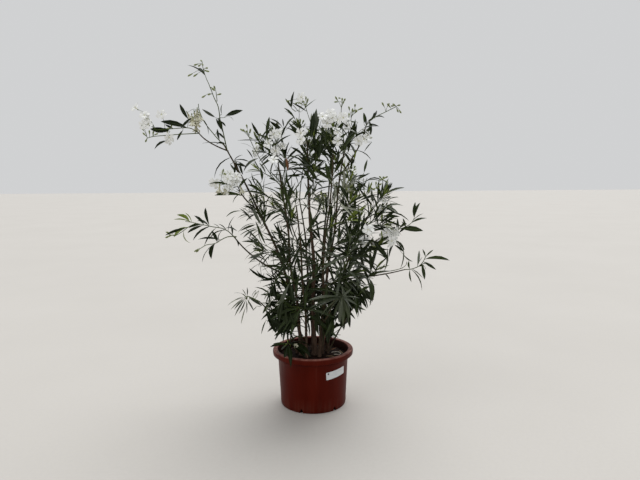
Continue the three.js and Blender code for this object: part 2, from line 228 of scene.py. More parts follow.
# Pot: a round nursery container of red-brown plastic, injection-moulded in one piece, with a
# deep rolled rim that is hollow underneath, a raised band under it, a foot ring and six drain
# slots through the corner of wall and floor.
POT_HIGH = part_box("pot")[1].z
RIM_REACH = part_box("pot")[1].x
FOOT_RADIUS = 0.162
SHOULDER_RADIUS = 0.175
RIM_DEPTH = 0.026
WALL = 0.003
POT_SIDES = 144
POT_CREASE = math.radians(38)
FOOT_RING_PROUD = 0.0006
BAND_LOW = 0.232
BAND_HIGH = 0.240
BAND_PROUD = 0.0009
BAND_BEVEL = 0.0015
RIM_ROLL = 0.0085
SLOT_COUNT = 6
SLOT_TURN = math.radians(-50)
SLOT_WIDTH = 0.015
SLOT_HEIGHT = 0.022
SLOT_REACH = 0.014


def arc(middle, radius, start, end, steps):
    """Points of a round corner in an outline, from one angle in degrees to another."""
    turns = [math.radians(start + (end - start) * k / steps) for k in range(steps + 1)]
    return [(middle[0] + radius * math.cos(t), middle[1] + radius * math.sin(t)) for t in turns]


def round_body(outline, sides, twist=0.0):
    """A closed body turned about the upright axis, twisted a little from ring to ring if asked. The
    outline gives radius and height, and starts and ends on the axis."""
    corners = [(0, 0, outline[0][1])]
    for number, (radius, height) in enumerate(outline[1:-1]):
        for k in range(sides):
            turn = math.tau * k / sides + twist * number
            corners.append((radius * math.cos(turn), radius * math.sin(turn), height))
    corners.append((0, 0, outline[-1][1]))
    tip = len(corners) - 1
    last = tip - sides
    faces = []
    for k in range(sides):
        after = (k + 1) % sides
        faces.append((0, 1 + after, 1 + k))
        faces.append((last + k, last + after, tip))
        for low in range(1, last, sides):
            faces.append((low + k, low + after, low + sides + after, low + sides + k))
    return corners, faces


def settled(draft, name):
    """The plain mesh piece that a draft with live modifiers comes to. The draft is removed."""
    graph = bpy.context.evaluated_depsgraph_get()
    mesh = bpy.data.meshes.new_from_object(draft.evaluated_get(graph), depsgraph=graph)
    mesh.name = name
    bpy.data.objects.remove(draft)
    return new_piece(name, mesh)


def wall_radius(height):
    """The pot's outer radius at a height under the rim."""
    return FOOT_RADIUS + (SHOULDER_RADIUS - FOOT_RADIUS) * height / (POT_HIGH - RIM_DEPTH)


def pot_outline():
    rim_foot = POT_HIGH - RIM_DEPTH
    recess = 0.0015
    corner = 0.004
    skirt = RIM_REACH - 0.0012
    foot_ring = ((0.012, 0), (0.0135, FOOT_RING_PROUD), (0.02, FOOT_RING_PROUD), (0.022, 0))
    low, high = wall_radius(BAND_LOW), wall_radius(BAND_HIGH)
    return [
        (0, recess),
        (0.138, recess),
        (0.141, 0),
        *arc((FOOT_RADIUS - corner, corner), corner, -90, -8, 6),
        *((wall_radius(height) + proud, height) for height, proud in (*foot_ring, (0.09, 0), (0.16, 0))),
        (low, BAND_LOW),
        (low + BAND_PROUD, BAND_LOW + BAND_BEVEL),
        (high + BAND_PROUD, BAND_HIGH - BAND_BEVEL),
        (high, BAND_HIGH),
        *arc((SHOULDER_RADIUS + 0.0035, rim_foot + 0.004), 0.003, 180, 90, 4),
        (RIM_REACH - 0.0075, rim_foot + 0.008),
        *arc((RIM_REACH - 0.0065, rim_foot + 0.0035), 0.0015, 90, 0, 3),
        (RIM_REACH - 0.0045, rim_foot + 0.0008),
        *arc((skirt - 0.0015, rim_foot + 0.0015), 0.0015, -90, 0, 4),
        (RIM_REACH - 0.0002, rim_foot + 0.008),
        (RIM_REACH, rim_foot + 0.013),
        *arc((RIM_REACH - RIM_ROLL, POT_HIGH - RIM_ROLL), RIM_ROLL, 8, 92, 9),
        (SHOULDER_RADIUS + 0.009, POT_HIGH - 0.0002),
        *arc((SHOULDER_RADIUS + 0.0045, POT_HIGH - 0.004), 0.0035, 80, 180, 6),
        (SHOULDER_RADIUS - WALL - 0.0002, POT_HIGH - 0.012),
        (wall_radius(0.16) - WALL, 0.16),
        (wall_radius(0.03) - WALL, 0.03),
        (FOOT_RADIUS - WALL - 0.002, 0.0055),
        (FOOT_RADIUS - WALL - 0.006, 0.004),
        (0, 0.004),
    ]


def slot_block():
    """The six round-topped blocks that the drain slots are cut with, as one mesh."""
    corners = []
    faces = []
    top = [(0.5 * math.cos(t), math.sin(t)) for t in (math.pi * k / 8 for k in range(9))]
    shape = [(0.5, -0.5), *top, (-0.5, -0.5)]
    for k in range(SLOT_COUNT):
        turn = Matrix.Rotation(SLOT_TURN + math.tau * k / SLOT_COUNT, 4, "Z")
        first = len(corners)
        for depth in (-SLOT_REACH, SLOT_REACH):
            for across, up in shape:
                corner = Vector((FOOT_RADIUS + depth, across * SLOT_WIDTH, up * SLOT_HEIGHT))
                corners.append(turn @ corner)
        count = len(shape)
        faces.append([first + j for j in reversed(range(count))])
        faces.append([first + count + j for j in range(count)])
        for j in range(count):
            after = (j + 1) % count
            faces.append((first + j, first + after, first + count + after, first + count + j))
    return mesh_of("drain_slots", corners, faces)


def pot_finish():
    """Satin red-brown plastic: faint flow marks, a paler rim top that is partly scuffed wear and partly
    painted highlight, dust about the foot, and a darker inside of painted shade and soil stain.
    """
    bench = FinishBench("pot_plastic")
    place = bench.place()
    height = bench.add("ShaderNodeSeparateXYZ", {}, {"Vector": place}).other("Z")
    flow = bench.cloud(bench.place((9, 9, 1.2)), 2.2, 4.0)
    speckle = bench.cloud(place, 420.0, 2.0)
    scuffs = bench.cloud(bench.place((34, 34, 160)), 1.0, 5.0, 0.6)
    drips = bench.cloud(bench.place((60, 60, 3)), 1.0, 3.0)
    body = bench.mix(flow.between(0.3, 0.7), (0.055, 0.0032, 0.0005), (0.076, 0.0052, 0.0012))
    # The rim's top is paler in patches: partly scuffed wear, partly a painted highlight of light glancing
    # off it.
    on_rim = height.between(POT_HIGH - 0.005, POT_HIGH - 0.001)
    wear_and_highlight = on_rim * scuffs.between(0.30, 0.68) * 0.62
    rim = bench.mix(wear_and_highlight, body, (0.44, 0.21, 0.165))
    near_foot = 1 - height.between(0.0, 0.075)
    dust = near_foot * drips.between(0.42, 0.72) * 0.14
    dusty = bench.mix(dust, rim, (0.25, 0.16, 0.11))
    streaks = drips.between(0.60, 0.75) * height.between(0.05, 0.24) * 0.07
    streaked = bench.mix(streaks, dusty, (0.27, 0.12, 0.09))
    # The inside is darkened up to a finger's width under the rim: painted shade in the pot's mouth, together
    # with some staining by soil and water.
    level = bench.place((1, 1, 0))
    reach = bench.add("ShaderNodeVectorMath", {"operation": "LENGTH"}, {0: level}).other("Value")
    wall_here = height * ((SHOULDER_RADIUS - FOOT_RADIUS) / (POT_HIGH - RIM_DEPTH)) + FOOT_RADIUS
    under_rim = 1 - height.between(POT_HIGH - 0.012, POT_HIGH - 0.003)
    inside = (wall_here - reach).between(0.0008, 0.0022) * under_rim
    surface = bench.mix(inside * 0.88, streaked, (0.020, 0.0065, 0.0035))
    rough = 0.36 + flow * 0.10 + dust * 0.9 + wear_and_highlight * 0.2
    relief = bench.bump(speckle * 0.6 + scuffs * 0.4, 0.00025)
    return bench.closed(surface, rough, relief, Specular_IOR_Level=0.06)


def smoothed(piece, crease, finish):
    """Shades a piece smooth up to a crease angle, in one finish."""
    piece.data.materials.clear()
    piece.data.materials.append(finish)
    piece.data.shade_smooth()
    piece.data.set_sharp_from_angle(angle=crease)


def fasten(piece, slot, *nodes):
    """Fixes a piece to the plant's one body, in its slot and in place of its nodes."""
    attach(piece, "root")
    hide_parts(*nodes)


pot_blank = new_piece("pot_blank", mesh_of("pot_blank", *round_body(pot_outline(), POT_SIDES)))
slots = new_piece("slot_blocks", slot_block())
slotting = pot_blank.modifiers.new("drain slots", "BOOLEAN")
slotting.operation = "DIFFERENCE"
slotting.solver = "EXACT"
slotting.object = slots
pot = settled(pot_blank, "nursery_pot")
bpy.data.objects.remove(slots)
smoothed(pot, POT_CREASE, pot_finish())
fasten(pot, "pot", "pot")

# Label: a bare white paper sticker, 115 by 37 mm with rounded corners, pressed on the wall a
# little aslant, with one corner lifting and a small dark dot for a punched hole near its upper left corner.
LABEL_AZIMUTH = math.radians(-49)
LABEL_MIDDLE = 0.189
LABEL_LENGTH = 0.115
LABEL_WIDTH = 0.037
LABEL_TILT = math.radians(5)
LABEL_STAND_OFF = 0.0004
LABEL_THICK = 0.0004
LABEL_CORNER = 0.004
LABEL_HOLE = 0.0045
LABEL_HOLE_PLACE = (-0.046, 0.0105)
LABEL_COLUMNS = 60
LABEL_ROWS = 20
LABEL_CREASE = math.radians(40)
LIFT_FROM = 0.72
LIFT = 0.016
WRINKLE = 0.00012


def label_corner(across, up):
    """A place on the sticker, bent round the wall and lifting a little at its far corner."""
    along = across * math.cos(LABEL_TILT) - up * math.sin(LABEL_TILT)
    height = LABEL_MIDDLE + across * math.sin(LABEL_TILT) + up * math.cos(LABEL_TILT)
    far_corner = max(0.0, (across + up) / (LABEL_LENGTH + LABEL_WIDTH) * 2 - LIFT_FROM)
    wrinkle = WRINKLE * noise.noise(Vector((across * 60, up * 90, 3)))
    wall = wall_radius(height)
    radius = wall + LABEL_STAND_OFF + LIFT * far_corner ** 2 + wrinkle
    turn = LABEL_AZIMUTH + along / wall
    return Vector((radius * math.cos(turn), radius * math.sin(turn), height))


def label_mesh():
    half_length = LABEL_LENGTH / 2
    half_width = LABEL_WIDTH / 2
    corners = []
    faces = []
    for row in range(LABEL_ROWS + 1):
        up = half_width * (2 * row / LABEL_ROWS - 1)
        # The ends are drawn in near the top and bottom edges, which rounds the corners.
        over = max(0.0, abs(up) - (half_width - LABEL_CORNER))
        drawn_in = LABEL_CORNER - math.sqrt(max(0.0, LABEL_CORNER ** 2 - over ** 2))
        for column in range(LABEL_COLUMNS + 1):
            across = (half_length - drawn_in) * (2 * column / LABEL_COLUMNS - 1)
            corners.append(label_corner(across, up))
    wide = LABEL_COLUMNS + 1
    for row in range(LABEL_ROWS):
        for column in range(LABEL_COLUMNS):
            first = row * wide + column
            faces.append((first, first + 1, first + wide + 1, first + wide))
    return mesh_of("label_blank", corners, faces)


def label_finish():
    """Coated paper with faint creases, and a dark dot that stands for the punched hole."""
    bench = FinishBench("label_paper")
    place = bench.place()
    hole = tuple(label_corner(*LABEL_HOLE_PLACE))
    apart = bench.add("ShaderNodeVectorMath", {"operation": "DISTANCE"}, {0: place, 1: hole})
    punched = 1 - apart.other("Value").between(LABEL_HOLE * 0.9, LABEL_HOLE * 1.1)
    fibres = bench.cloud(place, 300.0, 3.0)
    creases = bench.cloud(bench.place((40, 40, 160)), 1.0, 4.0, 0.65)
    paper = bench.mix(creases.between(0.35, 0.75), (0.60, 0.61, 0.63), (0.72, 0.72, 0.72))
    surface = bench.mix(punched, paper, (0.02, 0.018, 0.016))
    return bench.closed(surface, 0.42, bench.bump(fibres * 0.3 + creases * 0.7, 0.00015))


label_blank = new_piece("label_blank", label_mesh())
paper_body = label_blank.modifiers.new("paper", "SOLIDIFY")
paper_body.thickness = LABEL_THICK
paper_body.offset = 1
label = settled(label_blank, "pot_sticker")
smoothed(label, LABEL_CREASE, label_finish())
fasten(label, "label", "pot_label")

# Soil: dark bark-based potting mix up to 3 cm below the rim, lumpy and a little lower at the
# wall, with chips of bark and crumbs on it.
SOIL_LEVEL = 0.246
SOIL_RADIUS = wall_radius(SOIL_LEVEL) - WALL - 0.0006
SOIL_FOOT = 0.0048
SOIL_LUMPS = 0.0030
SOIL_GRIT = 0.0012
SOIL_DISH = 0.006
SOIL_RINGS = 34
SOIL_SIDES = 96
CHIPS_PER_SQUARE_METRE = 5200
CRUMBS_PER_SQUARE_METRE = 17000


def soil_height(x, y):
    """Height of the soil's surface, lumpy and a little lower at the wall."""
    edge = math.hypot(x, y) / SOIL_RADIUS
    lumps = SOIL_LUMPS * noise.noise(Vector((x * 22, y * 22, 1.5)))
    grit = SOIL_GRIT * noise.noise(Vector((x * 95, y * 95, 7.5)))
    return SOIL_LEVEL + lumps + grit - SOIL_DISH * edge ** 4


def soil_mesh():
    turns = [math.tau * k / SOIL_SIDES for k in range(SOIL_SIDES)]
    corners = []
    for ring in range(1, SOIL_RINGS + 1):
        radius = SOIL_RADIUS * ring / SOIL_RINGS
        top = [(radius * math.cos(turn), radius * math.sin(turn)) for turn in turns]
        corners += [(x, y, soil_height(x, y)) for x, y in top]
    middle = len(corners)
    corners.append((0, 0, soil_height(0, 0)))
    foot = len(corners)
    foot_radius = wall_radius(SOIL_FOOT) - WALL - 0.006
    corners += [(foot_radius * math.cos(turn), foot_radius * math.sin(turn), SOIL_FOOT) for turn in turns]
    foot_middle = len(corners)
    corners.append((0, 0, SOIL_FOOT))
    faces = []
    rim = (SOIL_RINGS - 1) * SOIL_SIDES
    for inside in range(0, rim, SOIL_SIDES):
        outside = inside + SOIL_SIDES
        for k in range(SOIL_SIDES):
            after = (k + 1) % SOIL_SIDES
            faces.append((inside + k, outside + k, outside + after, inside + after))
    for k in range(SOIL_SIDES):
        after = (k + 1) % SOIL_SIDES
        faces.append((middle, k, after))
        faces.append((rim + k, foot + k, foot + after, rim + after))
        faces.append((foot_middle, foot + after, foot + k))
    return mesh_of("soil_blank", corners, faces)


def soil_finish(name, dark, light, pale):
    """Damp dark mix with browner and paler specks."""
    bench = FinishBench(name)
    place = bench.place()
    patches = bench.cloud(place, 38.0, 4.0)
    specks = bench.cloud(place, 260.0, 3.0, 0.6)
    damp = bench.mix(patches.between(0.35, 0.68), dark, light)
    surface = bench.mix(specks.between(0.60, 0.72) * 0.7, damp, pale)
    return bench.closed(surface, 0.82 - patches * 0.2, bench.bump(specks, 0.0012), Specular_IOR_Level=0.06)


class ShapeBench(Bench):
    """A bench for the geometry tree that shapes a draft. Each named input has a kind and a value."""

    def __init__(self, draft, inputs):
        super().__init__(bpy.data.node_groups.new(draft.name, "GeometryNodeTree"))
        self.draft = draft
        self.values = {}
        for way in ("INPUT", "OUTPUT"):
            self.tree.interface.new_socket("Geometry", in_out=way, socket_type="NodeSocketGeometry")
        for name, (kind, value) in inputs.items():
            entry = self.tree.interface.new_socket(name, in_out="INPUT", socket_type="NodeSocket" + kind)
            self.values[entry.identifier] = value
        self.start = self.add("NodeGroupInput")

    def named(self, name, kind="FLOAT"):
        """A value that the mesh carries under this name."""
        return self.add("GeometryNodeInputNamedAttribute", {"data_type": kind}, {"Name": name})

    def painted(self, shape, finish, chosen=True):
        painting = {"Geometry": shape, "Material": finish, "Selection": chosen}
        return self.add("GeometryNodeSetMaterial", {}, painting)

    def made(self, shape):
        """The plain mesh piece that the draft comes to."""
        self.add("NodeGroupOutput", {}, {"Geometry": shape})
        shaping = self.draft.modifiers.new(self.tree.name, "NODES")
        shaping.node_group = self.tree
        for identifier, value in self.values.items():
            shaping[identifier] = value
        return settled(self.draft, self.draft.name)


def litter(name, density, lengths, flatness, slimness, finish, seed):
    """Faceted chips or crumbs strewn over the soil, as one mesh."""
    bench = ShapeBench(new_piece(name, soil_mesh()), {
        "Per square metre": ("Float", float(density)), "Seed": ("Int", seed),
    })
    chance = bench.start.other("Seed")

    def upright_part(source):
        return bench.add("ShaderNodeSeparateXYZ", {}, {0: bench.add(source)}).other("Z")

    facing_up = upright_part("GeometryNodeInputNormal")
    height = upright_part("GeometryNodeInputPosition")
    on_top = bench.add("FunctionNodeBooleanMath", {"operation": "AND"}, {
        0: facing_up.maths("GREATER_THAN", facing_up, 0.7),
        1: height.maths("GREATER_THAN", height, SOIL_LEVEL * 0.8),
    })
    spots = bench.add("GeometryNodeDistributePointsOnFaces", {}, {
        "Mesh": bench.start, "Selection": on_top, "Density": bench.start.other("Per square metre"),
        "Seed": chance,
    })
    stone = bench.add("GeometryNodeMeshIcoSphere", {}, {"Radius": 0.5, "Subdivisions": 1})
    turn = bench.add("FunctionNodeRandomValue", {"data_type": "FLOAT_VECTOR"}, {
        "Min": (-0.5, -0.5, 0.0), "Max": (0.5, 0.5, math.tau), "Seed": chance,
    })
    least, most = ((length, length * slimness, length * flatness) for length in lengths)
    size = bench.add("FunctionNodeRandomValue", {"data_type": "FLOAT_VECTOR"}, {
        "Min": least, "Max": most, "Seed": chance + 1,
    })
    strewn = bench.add("GeometryNodeInstanceOnPoints", {}, {
        "Points": spots, "Instance": stone, "Rotation": turn, "Scale": size,
    })
    solid = bench.add("GeometryNodeRealizeInstances", {}, {"Geometry": strewn})
    fasten(bench.made(bench.painted(solid, finish)), "potting_soil", "potting_soil")


soil = new_piece("potting_mix", soil_mesh(), [soil_finish(
    "potting_mix", (0.0060, 0.0030, 0.0020), (0.021, 0.0090, 0.0055), (0.070, 0.030, 0.018)
)])
soil.data.shade_smooth()
fasten(soil, "potting_soil", "potting_soil")
litter("bark_chips", CHIPS_PER_SQUARE_METRE, (0.005, 0.017), 0.22, 0.45, soil_finish(
    "bark_chips", (0.013, 0.0055, 0.0035), (0.055, 0.021, 0.013), (0.15, 0.080, 0.052)
), 11)
litter("soil_crumbs", CRUMBS_PER_SQUARE_METRE, (0.0018, 0.0052), 0.7, 0.85, soil_finish(
    "soil_crumbs", (0.0070, 0.0036, 0.0024), (0.028, 0.0125, 0.0080), (0.11, 0.062, 0.042)
), 12)

# Canes and boughs: living wood, thick and grey-brown with raised rings where leaves once
# stood at the foot, thinner and greener upwards. Each follows the line of its CAD limb.
CANE_SIDES = 16
RING_GAP = 0.012
LINE_STEP = 0.006
KNOT_SPACING = 0.042
KNOT_REACH_MM = (0.8, 5.5)
BARK_LUMPS = (95.0, 95.0, 30.0)
COLLAR_SWELL = 0.55
COLLAR_HEIGHT = 0.016
BOUGH_SUNK = 0.006
CANE_SUNK = 0.009


def limb_line(node):
    """The centre line and the radius of a limb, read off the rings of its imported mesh."""
    corners = {tuple(round(part, 5) for part in v.co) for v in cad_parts[node].data.vertices}
    points = np.array(sorted(corners))
    gaps = np.linalg.norm(points[:, None] - points[None], axis=2)
    first, last = np.unravel_index(gaps.argmax(), gaps.shape)
    axis = (points[last] - points[first]) / gaps[first, last]
    along = (points - points[first]) @ axis
    order = along.argsort()
    rings = np.split(order, np.nonzero(np.diff(along[order]) > RING_GAP)[0] + 1)
    middles = [points[ring].mean(axis=0) for ring in rings]
    radii = [
        np.median(np.linalg.norm(points[ring] - middle, axis=1)) for ring, middle in zip(rings, middles)
    ]
    if radii[1] < radii[-2]:
        middles.reverse()
        radii.reverse()
    radii[0] = radii[1] * 1.08
    return [Vector(middle) for middle in middles], radii


def flowing(points, values, step):
    """A smooth line through the points in even steps, with the values carried along."""
    ends = [points[0] * 2 - points[1], *points, points[-1] * 2 - points[-2]]
    line = []
    carried = []
    for k in range(len(points) - 1):
        before, here, there, beyond = ends[k:k + 4]
        count = max(1, round((there - here).length / step))
        for j in range(count):
            t = j / count
            line.append(0.5 * (
                2 * here + (there - before) * t + (2 * before - 5 * here + 4 * there - beyond) * t * t
                + (3 * here - before - 3 * there + beyond) * t ** 3
            ))
            carried.append(values[k] + (values[k + 1] - values[k]) * t)
    line.append(points[-1].copy())
    carried.append(values[-1])
    return line, carried


def bark_finish(name, old_wood, new_wood, streak):
    """Grey-brown bark low down with pale pores and long cracks, going over to green above."""
    bench = FinishBench(name)
    thick = bench.add("ShaderNodeAttribute", {"attribute_name": "thick"}).other("Fac")
    grain = bench.cloud(bench.place((150, 150, 18)), 1.0, 5.0, 0.65)
    pores = bench.cloud(bench.place((420, 420, 190)), 1.0, 2.0)
    patches = bench.cloud(bench.place(), 28.0, 3.0)
    age = (thick * 1000 + patches * 2.4).between(4.8, 8.2)
    cracked = bench.mix(grain.between(0.42, 0.62), bench.mix(age, new_wood, old_wood), streak)
    surface = bench.mix(pores.between(0.66, 0.72) * 0.5, cracked, (0.20, 0.13, 0.085))
    relief = bench.bump(grain * 0.7 + pores * 0.3, 0.0010)
    return bench.closed(surface, 0.62 + grain * 0.2, relief, Specular_IOR_Level=0.12)


def distances(points):
    """How far along a line each of its points lies."""
    return np.cumsum([0.0] + [(there - here).length for here, there in zip(points, points[1:])])


def lines_draft(name, lines):
    """A mesh of bare edges along many lines. Each line is its points and its radii."""
    corners = []
    edges = []
    for points, _ in lines:
        first = len(corners)
        corners += [tuple(point) for point in points]
        edges += [(first + k, first + k + 1) for k in range(len(points) - 1)]
    mesh = bpy.data.meshes.new(name)
    mesh.from_pydata(corners, edges, [])
    thick = [radius for _, radii in lines for radius in radii]
    along = [run for points, _ in lines for run in distances(points)]
    for value_name, values in (("thick", thick), ("along", along)):
        mesh.attributes.new(value_name, "FLOAT", "POINT").data.foreach_set("value", values)
    return new_piece(name, mesh)


def skinned(name, lines, sides, finish, roughness, knot):
    """Round wood along lines, with a fine uneven relief and a low swelling at each knot."""
    bench = ShapeBench(lines_draft(name, lines), {
        "Relief": ("Float", roughness), "Knot height": ("Float", knot),
    })
    thick = bench.named("thick")
    along = bench.named("along")
    curve = bench.add("GeometryNodeMeshToCurve", {}, {0: bench.start})
    ring = bench.add("GeometryNodeCurvePrimitiveCircle", {}, {"Resolution": sides, "Radius": 1.0})
    tube = bench.add("GeometryNodeCurveToMesh", {}, {
        "Curve": curve, "Profile Curve": ring, "Scale": thick, "Fill Caps": True,
    })
    stretched = bench.add("ShaderNodeVectorMath", {"operation": "MULTIPLY"}, {
        0: bench.add("GeometryNodeInputPosition"), 1: BARK_LUMPS,
    })
    lumps = bench.cloud(stretched, 1.0, 3.0) - 0.5
    to_knot = along.maths("PINGPONG", along, KNOT_SPACING / 2)
    near_knot = 1 - (to_knot * 1000).between(*KNOT_REACH_MM)
    push = thick * lumps * bench.start.other("Relief") + near_knot * thick * bench.start.other("Knot height")
    outward = bench.add("ShaderNodeVectorMath", {"operation": "SCALE"}, {
        0: bench.add("GeometryNodeInputNormal"), "Scale": push,
    })
    lumpy = bench.add("GeometryNodeSetPosition", {}, {"Geometry": tube, "Offset": outward})
    smooth = bench.add("GeometryNodeSetShadeSmooth", {}, {"Geometry": lumpy, "Shade Smooth": True})
    return bench.made(bench.painted(smooth, finish))


def sunk_foot(points, radii):
    """Carries a cane down into the soil and swells its root collar."""
    down = points[0] - Vector((0, 0, CANE_SUNK))
    line, thick = flowing([down, *points], [radii[0], *radii], LINE_STEP)
    for k, point in enumerate(line):
        height = max(0.0, point.z - SOIL_LEVEL)
        thick[k] *= 1 + COLLAR_SWELL * math.exp(-height / COLLAR_HEIGHT)
    return line, thick


bark = bark_finish("cane_bark", (0.118, 0.074, 0.050), (0.056, 0.050, 0.024), (0.044, 0.026, 0.017))
limbs = {}
for node in sorted(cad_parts):
    if not node.startswith(("cane_", "bough_")):
        continue
    points, radii = limb_line(node)
    if node.startswith("cane_"):
        line, thick = sunk_foot(points, radii)
    else:
        inward = points[0] + (points[0] - points[1]).normalized() * BOUGH_SUNK
        line, thick = flowing([inward, *points], [radii[0], *radii], LINE_STEP)
    limbs[node] = (line, thick)
    limb = skinned(node + "_wood", [(line, thick)], CANE_SIDES, bark, 0.34, 0.16)
    fasten(limb, "bark", node)

# Shoots: all wood thinner than a bough. A shoot starts where the wood below has room for it,
# swings out and up to the place that its tip is to reach, and ends in a tuft of leaves. Shoots
# that leave one place make the forks of three that this shrub is known for.
MASSES = sorted(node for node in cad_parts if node.startswith("foliage_"))
LEAF_CLAIMS = MASSES + sorted(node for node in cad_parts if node.startswith("spray_"))
TIERS = {
    "low": {"apart": 0.076, "open": 0.75, "rise": 0.22, "deepest": 0.14, "straight": 0.4},
    "middle": {"apart": 0.117, "open": 0.26, "rise": 0.60, "deepest": 0.12, "straight": 0.6},
    "upper": {"apart": 0.134, "open": 0.16, "rise": 1.30, "deepest": 0.10, "straight": 1.3},
    "top": {"apart": 0.096, "open": 0.16, "rise": 1.60, "deepest": 0.09, "straight": 1.3},
}
LEAF_HABITS = {
    "low": {"leafy": (0.16, 0.28), "gap": 1.25, "length": 1.38, "slim": 0.92, "skip": 0.20,
            "sag": 4.2, "least_sag": 0.2, "forms": (1, 2, 3, 3, 4, 4)},
    "middle": {"leafy": (0.22, 0.34), "gap": 1.30, "length": 1.20, "slim": 0.60, "skip": 0.30,
               "sag": 1.6, "least_sag": 0, "forms": (2, 3, 3, 4, 4, 4)},
    "upper": {"leafy": (0.22, 0.34), "gap": 1.75, "length": 1.06, "slim": 0.58, "skip": 0.32,
              "sag": 0.8, "least_sag": 0, "forms": (0, 1, 1, 2, 2, 3, 4, 5)},
    "top": {"leafy": (0.08, 0.16), "gap": 1.40, "length": 0.94, "slim": 0.90, "skip": 0.34,
            "sag": 0.6, "least_sag": 0, "forms": (0, 0, 1, 1, 2, 3, 5)},
}
SHOOT_STEP = 0.02
TUFT_REACH = 0.070
LOWEST_SHOOT = 0.30
LOWEST_GOAL = 0.425
# Heights at which the crown is looser: bottom, top and how much wider its shoots stand there.
LOOSE_ZONES = ((0.58, 0.82, 1.14), (1.20, 1.33, 1.20))
# The crown is fuller at its two flanks, below the flowers.
FLANK_FROM = 0.17
FLANK_TOP = 1.15
FLANK_SHARE = 0.70
PLANT_MIDDLE = 0.03
FULL_LEAN_AT = 0.20
TIP_LEAN = 0.75
TIP_STRAY = (0.22, 0.22, 0.15)
growth = random.Random(5)


def solid_of(node):
    """A mass as a search tree, for telling what is inside it."""
    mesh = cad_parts[node].data
    corners = [vertex.co.copy() for vertex in mesh.vertices]
    return BVHTree.FromPolygons(corners, [tuple(face.vertices) for face in mesh.polygons])


def depth_inside(solid, point):
    """How far a point lies under a mass's surface. It is negative outside."""
    nearest, normal, _, distance = solid.find_nearest(point)
    return distance if (point - nearest).dot(normal) < 0 else -distance


solids = {node: solid_of(node) for node in MASSES}


def tip_aim(point, rise):
    """The way that a shoot's tip points: up and away from the plant's middle."""
    away = Vector((point.x - PLANT_MIDDLE, point.y, 0))
    away = away.normalized() * min(1.0, away.length / FULL_LEAN_AT)
    stray = Vector([growth.gauss(0, share) for share in TIP_STRAY])
    return (away * TIP_LEAN + Vector((0, 0, rise)) + stray).normalized()


# The crown's outline as the picture shows it, level with the pot's middle: width and height in
# millimetres, from the low left over the top to the low right. Leaf tips keep within it.
CROWN_OUTLINE = [
    (-214, 318), (-248, 429), (-271, 521), (-312, 667), (-330, 761), (-362, 821), (-350, 948), (-348, 1021),
    (-326, 1137), (-329, 1218), (-312, 1303), (-273, 1350), (-234, 1406), (-176, 1415), (-118, 1489),
    (-98, 1535), (-71, 1456), (-57, 1386), (-14, 1386), (1, 1456), (29, 1460), (72, 1432), (139, 1422),
    (196, 1468), (291, 1430), (301, 1337), (244, 1295), (215, 1243), (210, 1176), (244, 1142), (331, 1137),
    (370, 1127), (399, 1060), (419, 982), (449, 904), (451, 786), (402, 736), (378, 657), (335, 600),
    (318, 565), (275, 480), (222, 440), (180, 390), (91, 312),
]
outline = [(x / 1000, z / 1000) for x, z in CROWN_OUTLINE]


def seen_on(plane, point):
    """Where a place is seen, carried along the line of sight onto an upright plane."""
    return EYE + (point - EYE) * ((plane - EYE.y) / (point.y - EYE.y))


def in_outline(point):
    """Whether a place is seen within the crown's outline."""
    seen = seen_on(0, point)
    inside = False
    for (x, z), (next_x, next_z) in zip(outline, outline[1:] + outline[:1]):
        if (z > seen.z) != (next_z > seen.z) and seen.x < x + (next_x - x) * (seen.z - z) / (next_z - z):
            inside = not inside
    return inside


# Two gaps in front of the stems, which the picture shows bare between the leaves: left, right,
# bottom and top in metres, 12 cm in front of the pot's middle.
FRONT_PLANE = -0.12
BEHIND_STEMS = 0.02
BARE_GAPS = [(-0.076, -0.040, 0.34, 0.60), (-0.022, 0.030, 0.30, 0.56)]


def hides_canes(point):
    """Whether a place stands in front of the stems that are seen bare."""
    if point.y > BEHIND_STEMS:
        return False
    seen = seen_on(FRONT_PLANE, point)
    return any(left < seen.x < right and low < seen.z < high for left, right, low, high in BARE_GAPS)


TRIES = 1300
SHALLOW_TRIES = 800
SHALLOW = (0.002, 0.022)
DEEPEST_IN_ANOTHER = 0.03
OPENING_SCALE = 7.5


def shoot_goals():
    """Where leaf tips of shoots are to come, spread through the outer part of each mass."""
    goals = []
    for node, solid in solids.items():
        tier_name = node.split("_")[1]
        tier = TIERS[tier_name]
        low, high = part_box(node)
        for attempt in range(TRIES):
            spot = Vector([growth.uniform(low[k], high[k]) for k in range(3)])
            deepest = SHALLOW[1] if attempt < SHALLOW_TRIES else tier["deepest"]
            if not SHALLOW[0] < depth_inside(solid, spot) < deepest:
                continue
            others = (other for other in solids.values() if other is not solid)
            if any(depth_inside(other, spot) > DEEPEST_IN_ANOTHER for other in others):
                continue
            if spot.z < LOWEST_GOAL or hides_canes(spot) or not in_outline(spot):
                continue
            if noise.noise(spot * OPENING_SCALE) > tier["open"]:
                continue
            flank = abs(spot.x - PLANT_MIDDLE) > FLANK_FROM and spot.z < FLANK_TOP
            apart = tier["apart"] * (FLANK_SHARE if flank else 1)
            apart *= math.prod(share for bottom, top, share in LOOSE_ZONES if bottom < spot.z < top)
            if any((spot - goal["spot"]).length < apart for goal in goals):
                continue
            aim = tip_aim(spot, tier["rise"])
            goals.append({"spot": spot, "aim": aim, "tier": tier_name, "kind": "leaves"})
    return goals


# What a shoot's way costs, for each metre of it: its turn out of the wood, its bend to its aim,
# and a drop. A place that one shoot has left already is cheaper, which makes the forks.
TURN_COST = 0.9
BEND_COST = 0.8
DROP_COST = 0.5
FORK_GAIN = 0.025
SHORTEST_SHOOT = 0.05
LEAST_TURN = 0.16
CLEAR_WOOD = 0.034
NO_WAY = 1e9


